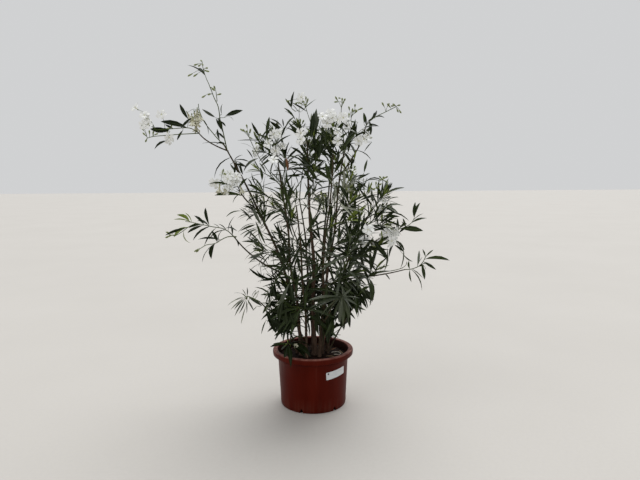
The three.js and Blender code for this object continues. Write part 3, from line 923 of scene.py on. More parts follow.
class Framework:
    """Every place on the wood where a shoot could leave, and the way the wood runs there."""

    def __init__(self):
        self.places = np.zeros((0, 3))
        self.headings = np.zeros((0, 3))
        self.thick = np.zeros(0)
        self.closed = np.zeros(0, bool)
        self.leaving = np.zeros(0, int)
        self.lines = np.zeros(0, int)

    def add_line(self, points, radii, open_from, open_to):
        """Takes in a line of wood. Shoots can leave between two distances from its foot."""
        ends = [points[0], *points, points[-1]]
        headings = [(beyond - before).normalized() for before, beyond in zip(ends, ends[2:])]
        run = distances(points)
        closed = (run < open_from) | (run > open_to) | (np.array(points)[:, 2] < LOWEST_SHOOT)
        number = self.lines.max(initial=-1) + 1
        self.places = np.vstack((self.places, points))
        self.headings = np.vstack((self.headings, headings))
        self.thick = np.append(self.thick, radii)
        self.closed = np.append(self.closed, closed)
        self.leaving = np.append(self.leaving, np.zeros(len(points), int))
        self.lines = np.append(self.lines, np.full(len(points), number))

    def joint_for(self, end, aim, straight):
        """The place that costs a shoot least to come from."""
        way = np.array(end) - self.places
        length = np.linalg.norm(way, axis=1)
        unit = way / np.maximum(length, 1e-6)[:, None]
        turn = np.arccos(np.clip((unit * self.headings).sum(axis=1), -1, 1))
        bend = np.arccos(np.clip(unit @ np.array(aim), -1, 1))
        cost = length * (1 + straight * (TURN_COST * turn ** 2 + BEND_COST * bend ** 2))
        cost += DROP_COST * np.maximum(0, -way[:, 2]) - FORK_GAIN * (self.leaving == 1)
        full = self.closed | (self.leaving > 1)
        cost[full | (length < SHORTEST_SHOOT) | (turn < LEAST_TURN)] = NO_WAY
        best = int(cost.argmin())
        return best if cost[best] < NO_WAY else None

    def use(self, joint):
        """Marks a place as taken and closes the wood just above and below it."""
        self.leaving[joint] += 1
        near = np.linalg.norm(self.places - self.places[joint], axis=1) < CLEAR_WOOD
        near &= self.lines == self.lines[joint]
        near[joint] = False
        self.closed |= near


LEAVING_PULL = 0.36
ARRIVING_PULL = 0.34


def swing(start, heading, end, aim):
    """A shoot's line: it leaves near the wood's own way, and comes round to its aim."""
    span = (end - start).length
    leave = (heading + (end - start).normalized() * 1.1).normalized()
    first = start + leave * span * LEAVING_PULL
    second = end - aim * span * ARRIVING_PULL
    count = max(3, round(span / SHOOT_STEP))
    points = []
    for t in (k / count for k in range(count + 1)):
        near_start = start * (1 - t) ** 3 + first * 3 * t * (1 - t) ** 2
        points.append(near_start + second * 3 * t * t * (1 - t) + end * t ** 3)
    return points


def tapered(foot, tip, count):
    """Radii that run evenly from a foot to a tip."""
    return [foot + (tip - foot) * k / (count - 1) for k in range(count)]


CLOSED_AT_FOOT = 0.03
CLOSED_AT_TIP = 0.05
THINNEST_FOOT = 0.0016
FOOT_FOR_EACH_METRE = 0.0058
TIP_RADIUS = 0.00125


def grow_shoot(wood, goal):
    """Grows one shoot from the wood to its goal, and gives it, or nothing if it has no way."""
    end = goal["spot"] - goal["aim"] * goal.get("tuft", TUFT_REACH)
    joint = wood.joint_for(end, goal["aim"], TIERS[goal["tier"]]["straight"])
    if joint is None:
        return None
    points = swing(Vector(wood.places[joint]), Vector(wood.headings[joint]), end, goal["aim"])
    span = distances(points)[-1]
    foot_radius = min(wood.thick[joint] * 0.85, THINNEST_FOOT + FOOT_FOR_EACH_METRE * span)
    radii = tapered(foot_radius, min(foot_radius, TIP_RADIUS), len(points))
    wood.use(joint)
    wood.add_line(points, radii, CLOSED_AT_FOOT, span - CLOSED_AT_TIP)
    leafy = min(span - 0.012, growth.uniform(*LEAF_HABITS[goal["tier"]]["leafy"]))
    return {**goal, "line": points, "radii": radii, "leafy": leafy}


wood = Framework()
for line, thick in limbs.values():
    wood.add_line(line[::3], thick[::3], 0.0, math.inf)


def on_crown(sight, default):
    """How far the crown's front is from the eye along a line of sight."""
    hits = [solid.ray_cast(EYE, sight) for solid in solids.values()]
    return min((hit[3] for hit in hits if hit[0] is not None), default=default)


def front_place(x, z, sink=0.0):
    """A place seen at this width and height in front of the pot, in millimetres, moved back onto
    the crown."""
    seen = Vector((x / 1000, FRONT_PLANE, z / 1000))
    sight = (seen - EYE).normalized()
    return EYE + sight * (on_crown(sight, (seen - EYE).length) + sink)


# What the picture shows singly in the crown: width and height in millimetres, 12 cm in front of
# the pot's middle. Tips of leaves and ends of twigs with buds are goals of shoots of their own, and
# so are the outermost leaf tips at the two sides, which lie level with the pot's middle.
SEEN_LEAF_TIPS = [
    (-74, 1513), (-112, 1476), (30, 1475), (18, 1424), (-267, 1375), (-189, 1397), (-75, 1396), (279, 1204),
    (262, 1205), (195, 1330), (105, 1430),
]
SIDE_LEAF_TIPS = [
    (-263, 1350), (-308, 1298), (-324, 1208), (-321, 1137), (-323, 1065), (-349, 968), (-343, 821),
    (-316, 732), (-312, 667), (-250, 561), (-253, 429), (320, 1346), (389, 1108), (395, 1011), (434, 938),
    (425, 889), (451, 766), (379, 617), (315, 516), (196, 385),
]
SEEN_BUD_ENDS = [(-33, 1485), (145, 1486), (203, 1440), (-301, 1358)]
SEEN_FLOWERS = [
    (-170, 1317), (-140, 1317), (-130, 1259), (-159, 1242), (-188, 1272), (-172, 1196), (-42, 1322),
    (-36, 1293), (52, 1390), (104, 1389), (122, 1378), (115, 1321), (121, 1281), (174, 1355), (243, 1291),
    (215, 1286), (263, 875), (358, 863), (370, 827),
]
BEHIND_FRONT = 0.06


def seen_goals():
    goals = []
    for x, z in SEEN_LEAF_TIPS:
        spot = front_place(x, z, BEHIND_FRONT)
        goals.append({"spot": spot, "aim": tip_aim(spot, 2.6), "tier": "top", "kind": "bare", "tuft": 0.09})
    for x, z in SIDE_LEAF_TIPS:
        spot = Vector((x / 1000, growth.uniform(-0.09, 0.09), z / 1000))
        tier = "top" if z > 1250 else "upper" if z > 1000 else "middle" if z > 650 else "low"
        aim = tip_aim(spot, 0.5 if z > 1000 else 0.15)
        goals.append({"spot": spot, "aim": aim, "tier": tier, "kind": "leaves", "tuft": 0.08})
    for x, z in SEEN_BUD_ENDS:
        spot = front_place(x, z, BEHIND_FRONT)
        goals.append({"spot": spot, "aim": tip_aim(spot, 1.8), "tier": "top", "kind": "buds", "tuft": 0.045})
    return goals


goals = seen_goals() + shoot_goals()
limb_places = wood.places
goals.sort(key=lambda goal: float(np.linalg.norm(limb_places - np.array(goal["spot"]), axis=1).min()))
shoots = [shoot for shoot in (grow_shoot(wood, goal) for goal in goals) if shoot]

# Long sprays: the shoots that stand out of the crown. Each has stems and leaves where the picture
# shows them, in centimetres to the right of and above the limb's tip. A leaf runs from its base
# to its tip, by way of a third place where it arches.
drawn_leaves = []
stalks = []
blooms = []
buds = []
loose = random.Random(8)
STEM_FOOT = 0.0030
STEM_TIP = 0.0016
CLOSEST_ON_STEM = 0.008
LEAF_SITS_WITHIN = 0.022


def nearest_on(lines, spot, flat=False):
    """How far off, where and how thick the nearest wood is, in the picture's plane if flat."""
    best = None
    for points, radii in lines:
        for point, radius in zip(points, radii):
            gap = point - spot
            if flat:
                gap.y = 0
            if best is None or gap.length < best[0]:
                best = (gap.length, point, radius)
    return best


def pairs(values):
    return list(zip(values[::2], values[1::2]))


def from_mm(place):
    return Vector([part / 1000 for part in place])


def draw_leaf(base, end, tint, slim, middle=None, upper=None):
    drawn_leaves.append({
        "base": base, "end": end, "tint": tint, "slim": slim, "middle": middle, "upper": upper,
    })


def short_twig(start, radius, end, rise):
    """The short twig that holds a leaf, bent up or down in its middle."""
    stalks.append(([start, start.lerp(end, 0.5) + Vector((0, 0, rise)), end], [radius, 0.0011, 0.0009]))


def long_spray(limb, stems=(), leaves=(), flowers=(), spent=(), bud_ends=(), drift=0.0, tint="mature",
               leafy_share=0.8, fresh_beyond=99.0, slim=1.3, company=0.7, upper=None):
    """Lays out one spray on its limb."""
    line, thick = limbs[limb]
    tip = line[-1]

    def at(right_cm, up_cm, back=0.0):
        return Vector((tip.x + right_cm * 0.01, tip.y + back, tip.z + up_cm * 0.01))

    tail = len(line) // 3
    here = [(line[tail:], thick[tail:])]
    for number, stem in enumerate(stems):
        _, start, start_radius = nearest_on(here, at(*stem[0]), flat=number > 0)
        lean = drift + loose.uniform(-0.02, 0.02)
        path = [start]
        for k, (right_cm, up_cm) in enumerate(stem):
            spot = at(right_cm, up_cm, start.y - tip.y + lean * (k + 1) / len(stem))
            if (spot - path[-1]).length > CLOSEST_ON_STEM:
                path.append(spot)
        radii = tapered(min(start_radius * 0.9, STEM_FOOT), STEM_TIP, len(path))
        smooth, smooth_radii = flowing(path, radii, 0.012)
        here.append((smooth, smooth_radii))
        stalks.append((smooth, smooth_radii))
        if leafy_share:
            fill_in_depth(smooth[:max(4, int(len(smooth) * leafy_share))], tint)
    for leaf in leaves:
        spots = pairs(leaf)
        base = at(*spots[0])
        gap, held, _ = nearest_on(here, base, flat=True)
        base.y = held.y
        if gap < LEAF_SITS_WITHIN:
            base = held.copy()
        else:
            short_twig(held, 0.0013, base, -0.004)
        length = math.dist(spots[0], spots[-1]) * 0.01
        end = at(*spots[-1])
        end.y = base.y + loose.uniform(-0.38, 0.38) * length
        middle = at(*spots[1], base.y - tip.y) if len(spots) > 2 else None
        shade = "young" if abs(leaf[0]) > fresh_beyond else tint
        draw_leaf(base, end, shade, slim * (0.7 if middle else 1), middle, upper)
    for ends, kind in ((flowers, "flower"), (spent, "spent"), (bud_ends, "bud")):
        for place in ends:
            spot = at(*place)
            _, held, radius = nearest_on(here, spot, flat=True)
            spot.y = held.y - loose.uniform(-0.008, 0.022)
            hold_bloom(held, radius, spot, kind)
            if loose.random() < company:
                stray = 0.020 if kind == "flower" else 0.012
                hold_bloom(held, radius, spot + Vector([loose.gauss(0, stray) for _ in range(3)]), kind)


def stalk_radii(radius):
    return [min(radius, 0.0011), 0.0009, 0.0007]


def hold_bloom(start, radius, end, kind):
    """A flower, spent flower or bud on a thin green stalk from the wood to its own place."""
    if kind == "bud":
        # The given place is the bud's middle.
        end = end + (start - end).normalized() * min(0.011, (start - end).length * 0.6)
    way = end - start
    bow = Vector((0, 0, way.length * (0.30 if kind == "spent" else 0.18)))
    points, radii = flowing([start, start + way * 0.5 + bow, end], stalk_radii(radius), 0.01)
    stalks.append((points, radii))
    ahead_way = (points[-1] - points[-2]).normalized()
    if kind == "flower":
        turned = Vector((loose.gauss(0, 0.4), -0.95, loose.gauss(0.35, 0.3)))
        facing = (ahead_way * 0.5 + turned).normalized()
        blooms.append({"place": end, "facing": facing, "kind": "flower", "size": loose.uniform(0.96, 1.14)})
    elif kind == "spent":
        facing = (Vector((loose.gauss(0, 0.2), loose.gauss(0, 0.2), -1))).normalized()
        blooms.append({"place": end, "facing": facing, "kind": "spent", "size": loose.uniform(1.1, 1.35)})
    else:
        buds.append({"place": end, "facing": ahead_way, "size": loose.uniform(0.95, 1.25)})


def cyme(shoot, flower_count, bud_count):
    """The flower head at a shoot's end: short stalks turning round it, flowers first, buds last."""
    aim = shoot["aim"]
    side = aim.orthogonal().normalized()
    for k in range(flower_count + bud_count):
        is_flower = k < flower_count
        turn = Quaternion(aim, 2.4 * k + growth.uniform(-0.3, 0.3))
        spread = math.radians(growth.uniform(28, 62) if is_flower else growth.uniform(8, 48))
        way = (aim * math.cos(spread) + (turn @ side) * math.sin(spread)).normalized()
        length = growth.uniform(0.022, 0.042) if is_flower else growth.uniform(0.012, 0.040)
        start = shoot["line"][-1] - aim * growth.uniform(0.0, 0.012)
        end = start + way * length
        middle = start + way * length * 0.5 + aim * length * 0.12
        stalks.append(([start, middle, end], stalk_radii(shoot["radii"][-1])))
        if is_flower:
            size = growth.uniform(0.95, 1.15)
            blooms.append({"place": end, "facing": way, "kind": "flower", "size": size})
        else:
            buds.append({"place": end, "facing": way, "size": growth.uniform(0.6, 1.15)})


def fill_in_depth(line, tint):
    """Whorls along a drawn stem, of which only the leaves that point towards or away from the
    picture's plane are kept, so that the spray is full from all sides."""
    habit = {"tint": tint, "keep_depth": True, "tier": "middle"}
    lay_whorls(line, distances(line)[-1] * 0.85, habit, loose, first_whorl=3)


# Leaves: leathery, lance-shaped, in whorls of three that turn by half the gap from one whorl to
# the next. Young ones stand close round the tip, old ones stand off and hang.
WHORL_GAPS = (0.003, 0.005, 0.008, 0.012, 0.016, 0.021, 0.026, 0.030, 0.033, 0.035)
WHORL_ANGLES = (10, 22, 36, 48, 57, 64, 70, 75, 80, 84)
WHORL_LENGTHS = (0.034, 0.060, 0.088, 0.106, 0.118, 0.124, 0.128, 0.126, 0.122, 0.118)
WHORL_SAG = (0.0, 0.0, 0.04, 0.10, 0.18, 0.26, 0.34, 0.42, 0.50, 0.56)
LAST_STEP = len(WHORL_GAPS) - 1
LEAF_STATIONS = (0.0, 0.055, 0.20, 0.42, 0.66, 0.87, 1.0)
LEAF_WIDTHS = (0.0, 0.10, 0.62, 1.0, 0.93, 0.46, 0.0)
LEAF_HALF_WIDTH = 0.088
WIDEST_AT = 0.125
INTO_DEPTH = 0.72
UNDER_FLOWERS = 0.7
NEAR_TIP = 0.88
LOWEST_TIP = 0.335
LEAF_FORMS = (
    {"arch": 0.015, "twist": 10, "fold": 0.30},
    {"arch": 0.045, "twist": -16, "fold": 0.34},
    {"arch": 0.080, "twist": 22, "fold": 0.26},
    {"arch": 0.120, "twist": -12, "fold": 0.38},
    {"arch": 0.175, "twist": 18, "fold": 0.28},
    {"arch": -0.035, "twist": 6, "fold": 0.42},
)
leaves = []


def add_leaf(base, end, upper, tint, rng, middle=None, slim=1.0, forms=(0, 1, 1, 2, 2, 3)):
    """Notes one leaf: its base, its tip, the way its upper side faces, and which form it has."""
    way = end - base
    length = way.length
    if middle is not None:
        bulge = middle - (base + way * 0.5)
        bulge -= way * (bulge.dot(way) / way.length_squared)
        arch = min(0.2, bulge.length / length * 1.1)
        form = min(range(5), key=lambda k: abs(LEAF_FORMS[k]["arch"] - arch))
        upper = bulge + upper * 0.004
    else:
        form = rng.choice(forms)
    along = way.normalized()
    upper = upper - along * upper.dot(along)
    if upper.length < 1e-4:
        upper = along.orthogonal()
    upper.normalize()
    across = along.cross(upper).normalized()
    turn = Matrix((across, along, upper)).transposed().to_quaternion()
    turn = turn @ Quaternion((0, 1, 0), rng.gauss(0, 0.38 if middle is None else 0.16))
    width = min(length, WIDEST_AT) * rng.uniform(0.86, 1.12) * slim + max(0.0, 0.06 - length) * 0.15
    leaves.append({"place": base, "turn": turn, "size": (width, length, width), "form": form, "tint": tint})


def lay_whorls(line, leafy, shoot, rng, first_whorl=0):
    """Whorls of three down a shoot from its tip, as far as it is leafy."""
    habit = LEAF_HABITS[shoot["tier"]]
    in_depth = shoot.get("keep_depth")
    whorl = first_whorl
    gone = 0.0
    need = WHORL_GAPS[min(whorl, LAST_STEP)] * (habit["gap"] if whorl > 1 else 1)
    spin = rng.uniform(0, math.tau)
    vigour = rng.uniform(0.84, 1.10)
    back = line[::-1]
    k = 0
    while k < len(back) - 1:
        here, below = back[k], back[k + 1]
        gap = (below - here).length
        if gone + gap < need:
            gone += gap
            k += 1
            continue
        if need > leafy:
            break
        spot = here + (below - here) * ((need - gone) / gap)
        tip_way = (here - below).normalized()
        step = min(whorl, LAST_STEP)
        side = tip_way.orthogonal().normalized()
        for number in range(3):
            if whorl > 2 and rng.random() < habit["skip"]:
                continue
            angle = math.radians(WHORL_ANGLES[step] + rng.gauss(0, 7))
            round_stem = Quaternion(tip_way, spin + number * math.tau / 3 + rng.gauss(0, 0.14))
            out = round_stem @ side
            way = tip_way * math.cos(angle) + out * math.sin(angle)
            sag = max(WHORL_SAG[step], habit["least_sag"]) * habit["sag"]
            sag *= rng.uniform(0.5, 1.5) * (0.4 + 0.6 * math.hypot(way.x, way.y))
            way = (way + Vector((0, 0, -sag))).normalized()
            if in_depth and abs(way.y) < INTO_DEPTH:
                continue
            length = WHORL_LENGTHS[step] * vigour * habit["length"] * rng.uniform(0.84, 1.14)
            if shoot.get("kind") == "flowers" and whorl < 3:
                length *= UNDER_FLOWERS
            end = spot + way * length
            if end.z < LOWEST_TIP or hides_canes(end) or hides_canes(spot + way * length * 0.5):
                continue
            if not in_depth and not in_outline(spot + way * length * NEAR_TIP):
                continue
            tint = "young" if whorl < shoot.get("fresh", 0) else shoot["tint"]
            upper = tip_way * 0.7 + Vector((0, 0, 0.5)) - out * 0.1
            add_leaf(spot + out * 0.0008, end, upper, tint, rng, slim=habit["slim"], forms=habit["forms"])
        spin += math.pi / 3
        whorl += 1
        need += WHORL_GAPS[min(whorl, LAST_STEP)] * habit["gap"]


def form_mesh(name, corners, faces, parts):
    """A smooth mesh with a part number on each face, which says its finish."""
    mesh = mesh_of(name, corners, faces)
    mesh.attributes.new("part", "INT", "FACE").data.foreach_set("value", parts)
    mesh.shade_smooth()
    return mesh


def leaf_blank(form):
    """One leaf of unit length and unit width scale: a thin closed blade, folded along a raised
    midrib, arched and a little twisted, with its base at the origin and its upper side up."""
    corners = [(0, 0, 0)]
    inner = list(zip(LEAF_STATIONS, LEAF_WIDTHS))[1:-1]
    for t, width in inner:
        half = LEAF_HALF_WIDTH * width
        rib = 0.010 * (1.25 - t)
        lift = half * form["fold"]
        twist = math.radians(form["twist"]) * (t - 0.1)
        arch = form["arch"] * 4 * t * (1 - t)
        over = rib * 0.55
        under = -rib * 0.75
        ring = ((-half, lift), (-rib, over), (rib, over), (half, lift), (rib, under), (-rib, under))
        for x, z in ring:
            turned_x = x * math.cos(twist) - z * math.sin(twist)
            turned_z = x * math.sin(twist) + z * math.cos(twist)
            corners.append((turned_x, t, turned_z + arch))
    corners.append((0, 1, 0))
    # Faces: 0 upper side, 1 lower side, 2 midrib. Ring places run left edge, upper rib pair, right
    # edge, lower rib pair.
    part_of_side = (0, 2, 0, 1, 2, 1)
    faces = []
    parts = []
    tip = len(corners) - 1
    last = tip - 6
    for side in range(6):
        after = (side + 1) % 6
        faces.append((0, 1 + side, 1 + after))
        for low in range(1, last, 6):
            faces.append((low + side, low + 6 + side, low + 6 + after, low + after))
        faces.append((last + side, tip, last + after))
        parts += [part_of_side[side]] * (len(inner) + 1)
    mesh = form_mesh("leaf_form", corners, faces, parts)
    margin = mesh.attributes.new("sharp_edge", "BOOLEAN", "EDGE")
    for edge in mesh.edges:
        a, b = edge.vertices
        rows = [(v - 1) % 6 if 0 < v < tip else None for v in (a, b)]
        margin.data[edge.index].value = all(row in (0, 3, None) for row in rows)
    return mesh


def form_shelf(name, meshes):
    """A collection of forms, off the scene, that a scatter picks from by number."""
    shelf = bpy.data.collections.new(name)
    for number, mesh in enumerate(meshes):
        shelf.objects.link(bpy.data.objects.new(f"{name}_{number:02d}", mesh))
    return shelf


def scattered(name, records, shelf, finishes):
    """One mesh piece of many copies. Each record has a place, a turn, a size and a form."""
    mesh = bpy.data.meshes.new(name)
    mesh.from_pydata([tuple(record["place"]) for record in records], [], [])
    for key, kind, form in (("turn", "QUATERNION", "value"), ("size", "FLOAT_VECTOR", "vector")):
        parts = [part for record in records for part in record[key]]
        mesh.attributes.new(key, kind, "POINT").data.foreach_set(form, parts)
    mesh.attributes.new("form", "INT", "POINT").data.foreach_set("value", [r["form"] for r in records])
    bench = ShapeBench(new_piece(name, mesh), {"Forms": ("Collection", shelf)})
    forms = bench.add("GeometryNodeCollectionInfo", {}, {
        "Collection": bench.start.other("Forms"), "Separate Children": True, "Reset Children": True,
    })
    spread = bench.add("GeometryNodeInstanceOnPoints", {}, {
        "Points": bench.start, "Instance": forms, "Pick Instance": True,
        "Instance Index": bench.named("form", "INT"), "Rotation": bench.named("turn", "QUATERNION"),
        "Scale": bench.named("size", "FLOAT_VECTOR"),
    })
    solid = bench.add("GeometryNodeRealizeInstances", {}, {"Geometry": spread})
    for part, finish in enumerate(finishes):
        this_part = bench.add("FunctionNodeCompare", {"data_type": "INT", "operation": "EQUAL"}, {
            "A_INT": bench.named("part", "INT"), "B_INT": part,
        })
        solid = bench.painted(solid, finish, this_part)
    piece = bench.made(solid)
    for value_name in ("turn", "size", "form", "part"):
        if value_name in piece.data.attributes:
            piece.data.attributes.remove(piece.data.attributes[value_name])
    fasten(piece, "foliage", *LEAF_CLAIMS)


def leaf_finish(name, low, high, rough, mottling, shine=0.0):
    """Leathery skin: a slow drift of colour from leaf to leaf and fine mottling in each."""
    bench = FinishBench(name)
    place = bench.place()
    drift = bench.cloud(place, 11.0, 2.0)
    fine = bench.cloud(place, 160.0, 3.0)
    surface = bench.mix(drift.between(0.32, 0.68), low, high)
    mottled = bench.mix(fine.between(0.45, 0.8) * mottling, surface, [part * 1.7 for part in high])
    return bench.closed(mottled, rough + fine * 0.12, bench.bump(fine, 0.0003), Coat_Roughness=0.24,
                        Specular_IOR_Level=0.02 + 0.5 * shine, Coat_Weight=shine)


LEAF_SHINE = {"deep": 0.06, "mature": 0.11, "dull": 0.48, "pale": 0.30, "young": 0.10}
LEAF_TINTS = {
    "deep": ((0.0072, 0.0115, 0.0032), (0.0135, 0.0200, 0.0058)),
    "mature": ((0.0150, 0.0235, 0.0060), (0.0275, 0.0415, 0.0100)),
    "dull": ((0.0290, 0.0375, 0.0200), (0.0560, 0.0680, 0.0385)),
    # The pale tint is painted light: the grey sheen of leaves that reflect the light high in the crown, and
    # the glow of thin leaves lit from behind low on the left.
    "pale": ((0.1300, 0.1400, 0.0950), (0.2200, 0.2300, 0.1700)),
    "young": ((0.0850, 0.1150, 0.0160), (0.1450, 0.1850, 0.0340)),
    "rusty": ((0.0800, 0.0360, 0.0170), (0.1300, 0.0620, 0.0290)),
    "tan": ((0.2000, 0.1250, 0.0650), (0.3200, 0.2150, 0.1250)),
}

long_spray(
    "cane_tall_left",
    stems=[
        [(2.1, -3.6), (0.9, 1.9), (0, 6.6), (-0.9, 10.4), (-1.2, 14.1), (-1.8, 17.4), (-3.2, 20.4),
         (-4.4, 23.7), (-5.9, 27.8), (-6.6, 29.3)],
        [(-1.9, 19.2), (-2.1, 23.2)],
        [(-6.6, 29.3), (-7.9, 33.6), (-8.4, 37.4)],
        [(1.6, -2.4), (-1.8, 1.2), (-4.6, 4.5), (-7.5, 8.3), (-9.4, 11.6), (-10.8, 15.9), (-10.9, 18.1)],
    ],
    leaves=[
        (2.8, 12.4, 5.7, 10.1), (-1, 11.2, -1, 7), (-10.3, 10.7, -6.7, 3.6),
        (3, -7.5, -1.5, -10.5, -4.4, -17.3), (6.2, -8, 12.4, -9.2), (6.9, -9.5, 11.2, -11.7),
        (6.2, -8, 7.5, -14.6), (4.6, -10, 6.8, -14.2), (5.5, -8.5, 9.8, -6),
    ],
    spent=[
        (-13.2, 14.5), (-11.7, 13.6), (-13.4, 11.2), (-10.3, 13.8), (-12.5, 8.7), (-12, 12), (-14.4, 13),
        (-11.4, 10.6),
    ],
    leafy_share=0.3,
    bud_ends=[
        (-11.5, 31.4), (-7.2, 33.6), (-6, 34.4), (-5.6, 33), (-10.8, 36), (-9.4, 35.6), (-7.7, 36),
        (-4.3, 25.6), (-3.4, 24.8), (-2.3, 25.2), (-0.9, 22.4), (-5.3, 22.6), (-8.6, 37.8),
    ],
    tint="deep",
    company=0.25,
)
long_spray(
    "bough_far_left",
    stems=[
        [(0, 0.5), (-3, 1.8), (-6.1, 2.2), (-10.3, 1.9), (-15.4, 1.5), (-20, 1.3)],
        [(0.9, -0.3), (-9.5, -0.8), (-15.7, -1.2), (-21.9, -1.7), (-24.7, -2.4)],
    ],
    leaves=[
        (-4.2, 6, -8.2, 13.4), (-5, 2.8, -17, 5), (-12.8, 0.7, -22.9, 1.5), (-11.6, 1.4, -15.5, 3.8),
        (-8, 2.2, -2.5, 6.8),
    ],
    flowers=[
        (-13.3, -2), (-24.6, 3.6), (-22.8, 6), (-24.2, 7.2), (-22.6, 3.4), (-16.3, 7.8), (-14.2, -3.4),
    ],
    leafy_share=0.0,
    bud_ends=[
        (-26.4, 2), (-25.8, -0.4), (-24.9, -2.8), (-23.7, 0.5), (-21.9, -0.6), (-13.3, 2.2), (-14.2, 0.2),
        (-12.3, 3), (-26, 3.2),
    ],
    tint="deep",
    company=0.2,
    upper=Vector((0, -0.9, 0.45)),
)
long_spray(
    "bough_left_flower",
    stems=[
        [(0, 0), (-1.8, 1.2), (-3.0, 3.4)],
        [(-1.8, 0.2), (-6.0, 1.8), (-8.0, 3.0)],
    ],
    leaves=[
        (1.1, -5.2, -10.9, -4.1), (3.9, -12, 0.5, -10.3), (1, -11.8, -6.5, -14.7), (4.2, -14, -1, -15.7),
        (-0.5, 0, -5.8, -3), (0.5, -1.2, 4.8, 3.8), (1.6, -3.4, -3.2, -8.4),
    ],
    flowers=[(-3, 5.4), (-4.9, 2.9), (-1.3, 2.8), (-3.1, -0.1), (-0.2, 1.7), (-10.4, 1.8)],
    spent=[(-8.4, 0.5), (1.6, 0.2)],
    bud_ends=[(-6.9, 7.2), (-5.4, 6.2)],
)
long_spray(
    "bough_left_spray",
    stems=[
        [(-2, 2), (-5, 3.5), (-9.4, 4.3), (-14.6, 5.5), (-19, 6.6), (-22, 7)],
        [(-17.5, 6.0), (-20.5, 4.4), (-23.6, 2.1), (-26.7, 0.3)],
        [(2, -0.7), (-2.1, -0.7), (-5.1, -2), (-8.2, -3.8), (-12.3, -4.4), (-15.0, -6.0)],
    ],
    leaves=[
        (-19.3, 8, -22.2, 11.3), (-19.5, 7, -27.9, 7.9), (-20.5, 6.8, -26.5, 10.2),
        (-20.5, 4.7, -27.5, -0.5), (-22.3, 2.6, -22.7, -1.2, -19.9, -3.5), (-10.9, 4.3, -18.2, -2),
        (-5.7, 3.5, -9, 5.8), (-2, 3.1, -6.4, 5.7), (-1.3, 2.3, -0.8, 5.7, 1.5, 9.4), (1, 1.2, -0.8, 5.4),
        (-7.3, -2.2, -9.8, 2.4), (-3.5, 2, -8, 0.9, -11.3, -2.1), (-8.2, -4.3, -10, -11.3),
        (2, -1.4, 2.8, -5.6), (-14, 5.4, -20.5, 3.9), (-13.2, 5.2, -17.6, 9.9),
    ],
    fresh_beyond=16.0,
    slim=1.6,
    tint="deep",
    bud_ends=[(-29.7, 0.5), (-16.1, -6.6), (-28.4, 1.2)],
    drift=-0.02,
)
long_spray(
    "bough_low_left_spray",
    stems=[[(0, 0), (-3.2, 1.6), (-5.7, 2.7)]],
    tint="dull",
    slim=0.85,
)
long_spray(
    "bough_right_spray",
    stems=[
        [(1.1, -1.4), (5.5, 0.0), (8.5, 1.9), (9.8, 4.2)],
        [(-5.0, -6.0), (-5.8, 4.0), (-5.8, 13.6), (-5.6, 18.4), (-5.7, 22.6)],
        [(-1.5, -3.0), (0.6, -6.6), (1.6, -8.6)],
    ],
    leaves=[
        (9.8, 3.8, 10.4, 12), (9.9, 4.3, 13, 11.6), (9.5, 3.6, 14.4, 6.4), (8.6, 2, 15.9, 4.1),
        (6.6, 0.4, 9.3, -0.7), (3.7, -1.4, 13.8, -1.9), (5.9, 0.2, 4, 4.2), (1.8, -1, 1.4, 4.2),
        (-5.6, 9, -0.2, 11.1, 5.1, 9.8), (-5.7, 6.2, 0.9, 9.1, 7, 2.7), (-5.6, 15.1, -0.3, 18, 4.8, 19.1),
        (-5.6, 5, 2.5, 5), (-5.6, 15.1, -1.4, 21.7), (-5.8, 22.1, -10.3, 23.6, -15.1, 21.6),
        (-5.6, 13.2, -1.5, 14.9), (0.4, -6.7, 5.3, -12), (0.8, -8.3, 4.9, -12.8), (0.4, -7.4, -2.6, -15.1),
    ],
    flowers=[(-13, -1.7), (-2.3, -2.5), (-2.6, -6.6), (-0.4, -2.1)],
    bud_ends=[(-5.7, 24.3), (-6.8, 23.4), (-4.8, 22.6)],
)
long_spray(
    "bough_low_right_spray",
    stems=[[(0.4, -0.5), (3.4, 0.4), (6.8, 1.9), (8.7, 4.1), (9.7, 6.4), (12, 8.7)]],
    leaves=[
        (9.4, 4.9, 13.9, 5.6, 20.7, 5.2), (5.7, 1.6, 8.6, 6.4), (8, 2.9, 9.2, -4.7), (3.8, 0.4, 8.8, -4.3),
        (2.7, 0.1, 3, -6.1), (1.9, 0, 1.5, 4.6), (8.6, 3.6, 15.2, -0.1), (6.4, 1.6, 13.4, 2),
        (9.7, 6.4, 13.6, 10), (9.5, 6, 8.4, 10.2),
    ],
)
long_spray(
    "bough_top_right_spray",
    stems=[[(0, 0), (3.2, 3.3), (9.3, 6.3), (14.1, 8.6)]],
    leaves=[
        (1.8, 1.6, 2.1, -4.4), (0.4, 0.4, 6, -0.6), (-1, 1, -1, 5.7), (3.2, 3.3, 3.8, 6.1),
        (-0.5, 0, 4.9, 3.6), (3.6, 3.4, 9.2, 3.4),
    ],
    bud_ends=[(8.1, 9.8), (12.9, 9.8), (15, 7.1), (15, 9.4), (10.8, 9.2)],
    leafy_share=0.3,
    tint="deep",
)
